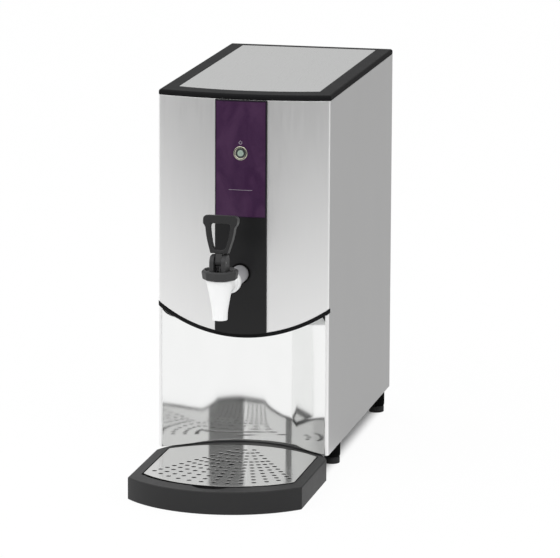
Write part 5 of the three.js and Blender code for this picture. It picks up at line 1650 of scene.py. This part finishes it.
    def handle(self) -> None:
        """The black finger loop and the fork under it that rides on the pin."""
        half = self.loop_side[-1][0]
        corner = self.handle_corner
        shoulder = arc(half - corner, self.handle_height - corner, corner, 0, 90, 10)
        middle, reach = self.handle_setback - self.pivot_ahead, self.handle_depth / 2
        loop = [*self.smooth(self.loop_side), *shoulder[1:]]
        work = self.begin("tap_handle", self.here(self.leaning(loop, reach)))
        work.cut(self.here(self.leaning(self.smooth(self.window_side), reach + 1)))
        work.soften(self.handle_edge, 5, 38.0)
        pivot, foot = self.pivot_height, self.pivot_height + self.handle_rise
        wide = self.cheek_inner - 0.4
        round_off = self.cross_pin + 3.0
        rear = self.pivot_ahead / cos(radians(self.lever_angle)) - self.pivot_ahead + 0.3
        side = [
            (middle - reach + 1.6, foot + 2),
            *arc(-self.pivot_ahead, pivot, round_off, 160, 270, 10),
            *arc(rear, pivot, round_off, 270, 360, 10),
            (middle + reach - 1.6, foot + 2),
        ]
        fork = Work("fork", crosswise(side, -wide, wide), self.place)
        fork.soften(0.5, 2, 50.0)
        work.join(self.here(self.as_shape(fork)))
        prong = wide - 1.6
        start = -self.pivot_ahead + self.pin_radius + 1.7
        depth, rise = (start, rear + round_off + 1), (pivot - round_off - 1, foot - 2.7)
        slot = Shape.block((-prong, prong), depth, rise)
        pin = self.across(self.pin_radius + GAP, wide + 1, -self.pivot_ahead, pivot)
        track = self.cross_pin + 0.4
        path = [*arc(-0.2, pivot, track, 90, 270, 10), *arc(rear - 0.1, pivot, track, 270, 450, 10)]
        cross = crosswise(path, -wide - 1, wide + 1)
        work.cut(*[self.here(shape) for shape in (slot, pin, cross)])
        self.dress(work, Slot.GLOSS, "tap_lever", body="tap_lever", sharp=32, finish=LEVER_BLACK)

    def pins(self) -> None:
        """The steel pin that the lever turns on."""
        half = self.cheek_outer - 0.2
        profile = chamfered(self.pin_radius, -half, half, self.pin_chamfer)
        pin = Shape.lathe(profile, 40).along_x().moved(y=-self.pivot_ahead, z=self.pivot_height)
        work = self.begin("lever_pin_turned", self.here(pin))
        steel = PlatedMetal("turned_steel", (0.6, 0.6, 0.6), 0.25)
        self.dress(work, Slot.SATIN, "lever_pin", finish=steel)

    def valve(self) -> None:
        """The stem with its cross pin, and the silicone cup that shuts the seat."""
        box = self.box("tap_stem")
        top = self.pivot_height + self.cross_pin + 0.6
        stem = chamfered(self.stem_radius, box.low.z, top, self.pin_chamfer)
        work = self.begin("valve_stem", self.here(Shape.lathe(stem, 40)))
        work.join(self.here(self.across(self.cross_pin, box.high.x, 0.0, self.pivot_height)))
        self.dress(work, Slot.SATIN, "tap_stem", body="tap_stem", sharp=35)
        cup = self.box("seat_cup")
        low, high, radius = cup.low.z, cup.high.z, cup.high.x
        bore, floor = self.stem_radius + GAP, box.low.z - GAP
        profile = [
            (0.0, low + 0.5), (radius - 3.0, low + 0.3), (radius - 1.6, low),
            (radius - 0.6, low + 0.2), (radius, low + 1.2), (radius - 0.2, low + 4.0),
            (bore + 2.4, low + 5.0), (bore + 1.6, high), (bore, high), (bore, floor), (0.0, floor),
        ]
        work = self.begin("valve_cup", self.here(Shape.lathe(profile, 64)))
        self.dress(work, Slot.SILICONE, "seat_cup", body="tap_stem", sharp=35)

    def spring(self) -> None:
        """The wound wire that shuts the tap."""
        box = self.box("tap_spring")
        low, high = box.low.z + self.spring_wire, box.high.z - self.spring_wire
        spot = (self.axis[0], self.axis[1], low)
        work = self.begin("valve_spring", Shape([spot]), closed=False)
        coil().grow(
            work, Turns=self.spring_turns, Radius=self.spring_radius * MM, Height=(high - low) * MM,
            Wire=self.spring_wire * 0.9 * MM, Finish=self.stock.take(Slot.SATIN),
        )
        self.dress(work, Slot.SATIN, "tap_spring")
        top = self.place.metres((self.axis[0], self.axis[1], box.high.z))
        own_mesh(work.object)

    def on_bore(self, name: str, profile: Outline) -> Work:
        """A piece turned about the barrel's axis, from (radius, distance forwards) pairs."""
        shape = Shape.lathe(profile, 64).turned(TO_FRONT)
        return self.begin(name, shape.moved(z=self.bore_height))

    def shank(self) -> None:
        """The plated shank that the tap screws on, and the washer round it."""
        box = self.box("tap_shank")
        radius, front, rear = box.high.x, box.low.y, box.high.y
        shoulder = rear - self.shank_tail
        profile = [(self.shank_bore, -front), (radius - 0.5, -front), (radius, -front - 0.5)]
        y = self.front.at(0) + SHEET
        while y + 1.6 < shoulder - 0.6:
            profile += [(radius, -y), (radius - 0.6, -y - 0.8)]
            y += 1.6
        tail = self.shank_tail
        profile += [(radius, -y), (radius - 0.5, -shoulder), (tail, -shoulder)]
        profile += [(tail, -rear + 0.5), (tail - 0.5, -rear), (self.shank_bore, -rear)]
        work = self.on_bore("threaded_shank", profile)
        # Painted light: this zinc is a lighter copy of the usual zinc, making up for the light the shank
        # misses in the tap's shade.
        finish = PlatedMetal("shank_zinc_painted_light", (0.67, 0.665, 0.685), 0.62, 900.0)
        self.dress(work, Slot.ZINC, "tap_shank", sharp=30, finish=finish)
        box = self.box("shank_washer")
        inner, outer = radius + GAP, box.high.x
        profile = [
            (inner, -box.high.y), (inner, -box.low.y - 0.5), (inner + 0.5, -box.low.y),
            (outer - 0.5, -box.low.y), (outer, -box.low.y - 0.5), (outer, -box.high.y),
        ]
        work = self.on_bore("rubber_washer", profile)
        self.dress(work, Slot.RUBBER, "shank_washer", sharp=35)


# ---- Drip tray ----


def bowed_outline(half: float, front: Point2, back: Point2, inset: float, steps: int = 64) -> Outline:
    """A plan with straight sides and a bowed front and back, drawn in by an inset.

    Args:
        half: Half its width.
        front: The front bow's peak and the y at which it ends.
        back: The back bow's peak and the y at which it begins.
        inset: How far the outline is drawn in.
        steps: Steps along each bow.

    Returns:
        The outline, from the front left corner round to the back left one.
    """
    bow_front = bow_radius(half, front[1] - front[0])
    bow_back = bow_radius(half, back[0] - back[1])
    inner = half - inset
    return [
        *chord_arc(front[0] + bow_front, bow_front - inset, inner, steps),
        *chord_arc(back[0] - bow_back, bow_back - inset, inner, steps, 90.0),
    ]


@dataclass
class DripTray(SubAssembly):
    """The black tray that slides out forwards and the punched grille in its top."""

    side_front: float = 47.0
    side_back: float = 71.5
    wall: float = 3.0
    floor: float = 2.4
    rim: float = 12.3
    rim_thick: float = 5.4
    edge: float = 1.6
    edge_steps: int = 5
    foot_edge: float = 0.8
    grille_front_rim: float = 23.0
    grille_front_corner: float = 16.0
    grille_back_corner: float = 9.0
    grille_back_rim: float = 24.5
    ledge: float = 5.0
    slide_gap: float = 0.4
    notch_half: float = 22.0
    notch_depth: float = 11.0
    notch_under: float = 1.6
    sheet: float = 0.6
    groove_front: float = 6.0
    groove_side: float = 1.2
    groove_deep: float = 2.0
    hole_radius: float = 2.9
    drain_radius: float = 3.8
    drains: tuple[float, ...] = (-61.0, -121.0)
    fan_lines: int = 6
    fan_step: float = 4.85
    fan_origin: float = 32.0
    ring_step: float = 14.7
    hole_margin: float = 21.0
    hole_spacing: float = 6.0
    hole_web: float = 1.5

    def build(self) -> None:
        """Makes the tray and the grille."""
        box = self.box("drip_tray")
        self.half, self.top = box.high.x, box.high.z
        self.front_bow = (box.low.y, box.low.y + self.side_front)
        self.back_bow = (box.high.y, box.high.y - self.side_back)
        self.tray()
        self.grille()

    def grille_outline(self, grow: float, set_back: float = 0.0) -> Outline:
        """The grille's outline, grown by a margin, with its front edge set back."""
        front = self.front_bow[0] + self.grille_front_rim - grow + set_back
        front_end = self.front_bow[1] + self.grille_front_corner - grow * 0.6 + set_back
        back = self.back_bow[0] - self.grille_back_rim + grow
        back_end = self.back_bow[1] + self.grille_back_corner + grow * 0.6
        return bowed_outline(self.half - self.rim + grow, (front, front_end), (back, back_end), 0.0)

    def plan(self, inset: float) -> Outline:
        """The tray's plan, drawn in by an inset."""
        return bowed_outline(self.half, self.front_bow, self.back_bow, inset)

    def tray(self) -> None:
        """The moulded tray with a rounded rim, a basin, a pocket and a finger notch."""
        rows = [[(x, y, 0.0) for x, y in self.plan(self.foot_edge)]]
        rows.append([(x, y, self.foot_edge) for x, y in self.plan(0.0)])
        rows += rounded_top(self.plan, self.top, self.edge, self.edge_steps)
        work = self.begin("tray_moulding", Shape.loft(rows))
        rim_low = self.top - self.rim_thick
        pocket = self.box("drip_grille").low.z - GAP - self.groove_deep
        front = self.front_bow[0] + self.grille_front_rim - self.notch_depth
        radius = bow_radius(self.notch_half, self.notch_depth + 3)
        notch = chord_arc(front + radius, radius, self.notch_half, 24)
        work.cut(
            Shape.prism(self.plan(self.wall), self.floor, rim_low),
            Shape.prism(self.grille_outline(-self.ledge), rim_low - 1, self.top + 1),
            Shape.prism(self.grille_outline(self.slide_gap), pocket, self.top + 1),
            Shape.prism(notch, rim_low + self.notch_under, self.top + 1),
        )
        work.soften(0.35, 2, 40.0)
        self.dress(work, Slot.MOULDING, "drip_tray", body="drip_tray", sharp=35)

    def fan(self) -> Outline:
        """Centres of the small holes: rings on lines that fan out from behind.

        The outer rings bend to follow the grille's front edge. Near the origin every
        second, third or sixth line is kept, so that holes never run together.
        """
        front = self.front_bow[0] + self.grille_front_rim
        rise = self.front_bow[1] + self.grille_front_corner - front
        bow = bow_radius(self.half - self.rim, rise) - self.hole_margin
        front += self.hole_margin
        drop = self.fan_origin - (front + bow)
        longest = self.fan_origin - front
        holes: Outline = []
        distance = longest
        while distance > self.ring_step:
            spacing = distance * radians(self.fan_step)
            every = next((n for n in (1, 2, 3, 6) if spacing * n >= self.hole_spacing), self.fan_lines)
            for line in range(-self.fan_lines, self.fan_lines + 1):
                if line % every:
                    continue
                angle = radians(line * self.fan_step)
                reach_end = drop * cos(angle) + sqrt(bow**2 - (drop * sin(angle)) ** 2)
                bend = 1 + (reach_end / longest - 1) * (distance / longest) ** 2
                reach = distance * bend
                holes.append((reach * sin(angle), self.fan_origin - reach * cos(angle)))
            distance -= self.ring_step
        clear = self.drain_radius + self.hole_radius + self.hole_web
        return [(x, y) for x, y in holes if all(hypot(x, y - drain) > clear for drain in self.drains)]

    def grille(self) -> None:
        """The brushed plate, punched by the tree at the fan's points."""
        box = self.box("drip_grille")
        small = self.fan()
        centres = [*small, *[(0.0, y) for y in self.drains]]
        work = self.begin("punched_grille", Shape([(x, y, 0.0) for x, y in centres]), closed=False)
        scales = [1.0] * len(small) + [self.drain_radius / self.hole_radius] * len(self.drains)
        edge = self.grille_outline(-self.groove_side, self.groove_front - self.groove_side)
        ring = arc(0.0, 0.0, self.hole_radius, 0, 345, 23)
        tools = [
            self.outline_object("grille_outline", edge, 0.0),
            self.outline_object("grille_hole", ring, 0.0, Place(0.0)),
        ]
        steel = BrushedSteel("grille_steel", (0.76, 0.76, 0.75), 0.17, Grain.ACROSS, 0.02, 0.03, 0.000003)
        self.punch(work, scales, tools, self.sheet, self.stock.take(steel))
        work.object.data.transform(Matrix.Translation((0.0, 0.0, (box.high.z - self.sheet) * MM)))
        work.soften(0.2, 2, 50.0)
        self.dress(work, Slot.BRUSHED, "drip_grille", body="drip_grille", sharp=40, finish=steel)


# ---- Back and inside ----


@dataclass
class RearFittings(SubAssembly):
    """The back panel's screws and the cable gland."""

    screw_head: float = 3.5
    screw_rise: float = 2.2
    screw_radius: float = 1.9
    cross_half: float = 0.45
    cross_reach: float = 1.9
    cross_depth: float = 1.3
    gland_across: float = 22.0
    gland_bore: float = 4.4

    def build(self) -> None:
        """Makes the fittings."""
        self.screws()
        self.gland()

    def screws(self) -> None:
        """The four pan-head screws of the back panel, copies of one."""
        origin = Place(0.0)
        first = self.box("back_screw_low_left")
        length = first.high.y - first.low.y - self.screw_rise
        head, rise, shaft = self.screw_head, self.screw_rise, self.screw_radius
        profile = [(0.0, -length), (shaft - 0.6, -length), (shaft, -length + 1.2)]
        z = -length + 1.6
        while z < -1.0:
            profile += [(shaft, z), (shaft - 0.45, z + 0.5)]
            z += 1.0
        profile += [(shaft, -0.4), (shaft, 0.0), (head, 0.0), (head, rise * 0.35)]
        turns = [radians(a) for a in range(18, 90, 18)]
        profile += [(head * cos(turn), rise * (0.35 + 0.65 * sin(turn))) for turn in turns]
        profile += [(0.0, rise)]
        copy = Work("screw", Shape.lathe(profile, 28), origin)
        arm = (-self.cross_reach, self.cross_reach)
        slim = (-self.cross_half, self.cross_half)
        depth = (rise - self.cross_depth, rise + 1)
        copy.cut(Shape.block(arm, slim, depth), Shape.block(slim, arm, depth))
        copy.object.data.transform(TO_BACK)
        tree = spread()
        steel = PlatedMetal("screw_steel", (0.55, 0.55, 0.55), 0.28)
        finish = self.stock.take(steel)
        for end in ("low", "high"):
            for side in ("left", "right"):
                node = f"back_screw_{end}_{side}"
                box = self.box(node)
                spot = (box.middle.x, box.high.y - rise, box.middle.z)
                work = self.begin(f"panel_screw_{end}_{side}", Shape([spot]), closed=False)
                tree.grow(work, Copy=copy.object, Finish=finish)
                self.dress(work, Slot.SATIN, node, sharp=35, finish=steel)
        bpy.data.objects.remove(copy.object)

    def gland(self) -> None:
        """The cable gland: a six-sided flange, a domed cap and its empty bore."""
        box = self.box("cable_gland")
        panel = self.box("back_panel").high.y
        middle = box.middle
        bore, thread = self.gland_bore, 8.0
        corner = self.gland_across / sqrt(3)
        hexagon = Shape.bar(corner, panel + GAP, panel + 6, 6).turned(TO_BACK)
        work = self.begin("gland_body", hexagon.moved(x=middle.x, z=middle.z)).soften(0.6, 3, 20.0)
        end = box.high.y
        cap = [(0.0, panel + 5), (thread + 2.0, panel + 5), (thread + 2.0, end - 5.0)]
        cap += [
            (bore + 1.2 + (thread + 0.8 - bore) * cos(radians(a)), end - 5.0 + 5.0 * sin(radians(a)))
            for a in range(15, 91, 15)
        ]
        cap += [(0.0, end)]
        tube = Shape.bar(thread, box.low.y, panel + 2, 40)
        for shape in (Shape.lathe(cap, 48), tube):
            work.join(shape.turned(TO_BACK).moved(x=middle.x, z=middle.z))
        work.cut(Shape.bar(bore, box.low.y - 1, end + 1, 40).turned(TO_BACK).moved(x=middle.x, z=middle.z))
        self.dress(work, Slot.MOULDING, "cable_gland", sharp=35)


@dataclass
class Inside(SubAssembly):
    """The boiler and the electrical parts, whose CAD solids stay and are dressed."""

    dressed: tuple[tuple[Slot, tuple[str, ...]], ...] = (
        (Slot.SATIN, ("base_plate", "tank", "tank_lid", "clamp_band", "heating_element")),
        (Slot.SATIN, ("temperature_probe", "level_probe_high", "level_probe_low")),
        (Slot.ZINC, ("tank_stand", "board_bracket")),
        (Slot.BRASS, ("shank_nut", "element_nut")),
        (Slot.SILICONE, ("outlet_hose", "tank_gasket", "vent_pipe", "fill_hose")),
        (Slot.FOAM, ("insulation_jacket",)), (Slot.BOARD, ("display_board", "control_board")),
        (Slot.COIL, ("valve_coil",)), (Slot.CREAM, ("inlet_valve", "terminal_block")),
        (Slot.MOULDING, ("limit_thermostat", "gland_nut")), (Slot.RED, ("reset_button",)),
    )

    def build(self, nodes: Mapping[str, Object]) -> None:
        """Gives each CAD node that stays in view its finish."""
        for slot, names in self.dressed:
            for name in names:
                self.stock.dress_node(nodes[name], slot)
                LOG.info("%s: kept, in %s", name, slot.value)


# ---- Studio ----


class Sky(Bench):
    """The node tree of the world, where a point is a direction."""

    def __init__(self) -> None:
        """Makes an empty world."""
        world = bpy.data.worlds.new("world")
        bpy.context.scene.world = world
        world.use_nodes = True
        self.tree = world.node_tree
        self.tree.nodes.clear()
        self.place = self.node("ShaderNodeTexCoord").outputs["Generated"]


@dataclass
class Studio:
    """The pale floor, the soft lights, the white world and the camera."""

    place: Place
    lens: float = 280.8
    sensor: float = 36.0
    yaw: float = -12.368
    pitch: float = 11.56
    roll: float = 0.26
    spot: Point3 = (1117.54, -4996.18, 1263.33)
    floor_half: float = 14.0
    floor_white: float = 0.88
    glow: float = 0.95
    glow_front: Point2 = (0.95, 2.1)
    glow_far: float = 0.0
    glow_back: float = 0.38
    glow_right: float = 0.5
    sky_low: float = 0.62
    sky_high: float = 1.25
    sky_left: float = 1.08
    sky_right: float = 0.45
    cards: tuple[Point3, ...] = (
        (25.0, 24.5, 0.08), (64.0, 12.0, 0.85), (-35.0, 28.0, 0.82), (-75.0, 9.5, 0.1), (-97.0, 11.0, 0.42),
    )
    card_height: Point2 = (0.2, 0.12)

    def build(self) -> None:
        """Makes the studio."""
        bpy.context.scene.view_settings.view_transform = "Standard"
        self.camera()
        self.floor()
        self.world()
        self.lamps()

    def camera(self) -> None:
        """The camera, level but for a small roll, looking down at the case from its right."""
        yaw, pitch, roll = (radians(turn) for turn in (self.yaw, self.pitch, self.roll))
        ahead = Vector((sin(yaw) * cos(pitch), cos(yaw) * cos(pitch), -sin(pitch)))
        right = Vector((cos(yaw), -sin(yaw), 0.0))
        up = right.cross(ahead)
        side = right * cos(roll) + up * sin(roll)
        top = up * cos(roll) - right * sin(roll)
        matrix = Matrix((side, top, -ahead)).transposed().to_4x4()
        matrix.translation = Vector(self.spot) * MM
        data = bpy.data.cameras.new("camera")
        data.lens = self.lens
        data.sensor_width = self.sensor
        data.clip_end = 60.0
        camera = linked("camera", data)
        camera.matrix_world = matrix
        bpy.context.scene.camera = camera

    def floor(self) -> None:
        """A wide round floor that shows white and keeps the shadow."""
        points = [(self.floor_half * x, self.floor_half * y, 0.0) for x, y in arc(0.0, 0.0, 1.0, 0, 350, 35)]
        mesh = bpy.data.meshes.new("floor")
        mesh.from_pydata(points, [], [tuple(range(len(points)))])
        floor = linked("floor", mesh)
        mesh.materials.append(self.floor_finish())

    def floor_finish(self) -> Material:
        """Matt white that shows white, with a pool of light in front of the case.

        Under the case the floor shows as it is lit. What the metal reflects of the floor
        grows dimmer far in front of the case and behind its right side, and is brighter
        than white at the front right, by the share ``glow_right`` at most.
        """
        bench = Bench("floor_white")
        white = (self.floor_white,) * 3
        cloud = bench.noise((2.0, 2.0, 2.0))
        bench.set(Base_Color=bench.mix(cloud, white, shade(white, 1.01)), Roughness=0.9)
        x, y, _ = bench.axes()
        case = self.place.box("case_wrap")
        low, high = self.place.metres(tuple(case.low)), self.place.metres(tuple(case.high))
        across = 1 - abs(x - (low[0] + high[0]) / 2).above((high[0] - low[0]) / 2 - 0.012, 0.01)
        along = 1 - abs(y - (low[1] + high[1]) / 2).above((high[1] - low[1]) / 2 - 0.012, 0.01)
        under = across * along
        paths = bench.node("ShaderNodeLightPath")
        eye = Value(bench, paths.outputs["Is Camera Ray"])
        glossy, through = paths.outputs["Is Glossy Ray"], paths.outputs["Is Transmission Ray"]
        mirror = bench.math("MAXIMUM", Value(bench, glossy), Value(bench, through))
        near, far = self.glow_front
        away = (y * -1).above((near + far) / 2, (far - near) / 2)
        behind = y.above(0.0, 0.08) * x.above(0.0, 0.05)
        right = x.above(0.0, 0.25) * (y * -1).above(1.15, 0.25) * (1 - eye)
        lit = 1 - away * (1 - self.glow_far) - behind * (1 - self.glow_back)
        strength = (lit + eye * (1 - lit)) * (right * self.glow_right + 1) * 0.5
        shown = bench.mix(strength, (0.0, 0.0, 0.0), (2.0, 2.0, 2.0))
        glow = bench.node("ShaderNodeEmission", {"Color": shown, "Strength": 1.0})
        share = (eye * 0.95 + mirror * self.glow) * (1 - under)
        mixed = bench.node("ShaderNodeMixShader", {0: share, 1: bench.shader, 2: glow})
        bench.tree.links.new(mixed.outputs[0], bench.output.inputs["Surface"])
        return bench.material

    def world(self) -> None:
        """Soft light, brighter overhead and to the left, with dark cards low at the front and sides."""
        sky = Sky()
        x, y, z = sky.axes()
        level = z.above(0.35, 0.4) * (self.sky_high - self.sky_low) + self.sky_low
        behind = x.above(0.0, 0.6) * y.above(0.1, 0.4)
        level = level * (behind * (self.sky_right - self.sky_left) + self.sky_left)
        middle, tall = self.card_height
        low = 1 - abs(z - middle).above(tall, 0.06)
        for turn, half, dark in self.cards:
            east, north = sin(radians(turn)), -cos(radians(turn))
            aside = abs(x * -north + y * east)
            card = (1 - aside.above(sin(radians(half)), 0.03)) * (x * east + y * north).above(0.0, 0.05)
            level = level * (1 - card * low * (1 - dark))
        white = (1.0, 1.0, 1.0)
        soft = sky.node("ShaderNodeBackground", {"Color": white, "Strength": level})
        plain = sky.node("ShaderNodeBackground", {"Color": white, "Strength": 1.0})
        eye = sky.node("ShaderNodeLightPath").outputs["Is Camera Ray"]
        mixed = sky.node("ShaderNodeMixShader", {0: eye, 1: soft.outputs[0], 2: plain.outputs[0]})
        sky.node("ShaderNodeOutputWorld", {"Surface": mixed.outputs[0]})

    def lamps(self) -> None:
        """Two soft area lamps, the stronger one at the front left."""
        target = Vector((0.0, 0.0, 0.25))
        for name, spot, size, power in (
            ("key_lamp", (-1.4, -2.0, 2.8), 1.6, 12.0),
            ("fill_lamp", (1.2, -2.0, 3.0), 1.6, 10.0),
        ):
            data = bpy.data.lights.new(name, "AREA")
            data.energy, data.size = power, size
            lamp = linked(name, data)
            lamp.location = spot
            lamp.rotation_euler = (target - Vector(spot)).to_track_quat("-Z", "Y").to_euler()


# ---- Whole object ----


def main() -> None:
    """Builds every sub-assembly round the frame, then the studio."""
    logging.basicConfig(level=logging.INFO, format="%(message)s")
    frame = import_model()
    place = Place()
    given = {
        "place": place,
        "stock": Stock(),
        "front": Front(place.box("case_wrap").high.x),
        "arch": Arch(place.box("case_wrap").high.x, place.box("smile_trim").low.z),
    }
    for assembly in (Casing, TopCover, FrontStrip, LevellingFeet, LeverTap, DripTray, RearFittings):
        LOG.info("-- %s", assembly.__name__)
        assembly(**given).build()
    Inside(**given).build(frame["nodes"])
    Studio(place).build()


if __name__ == "__main__":
    main()
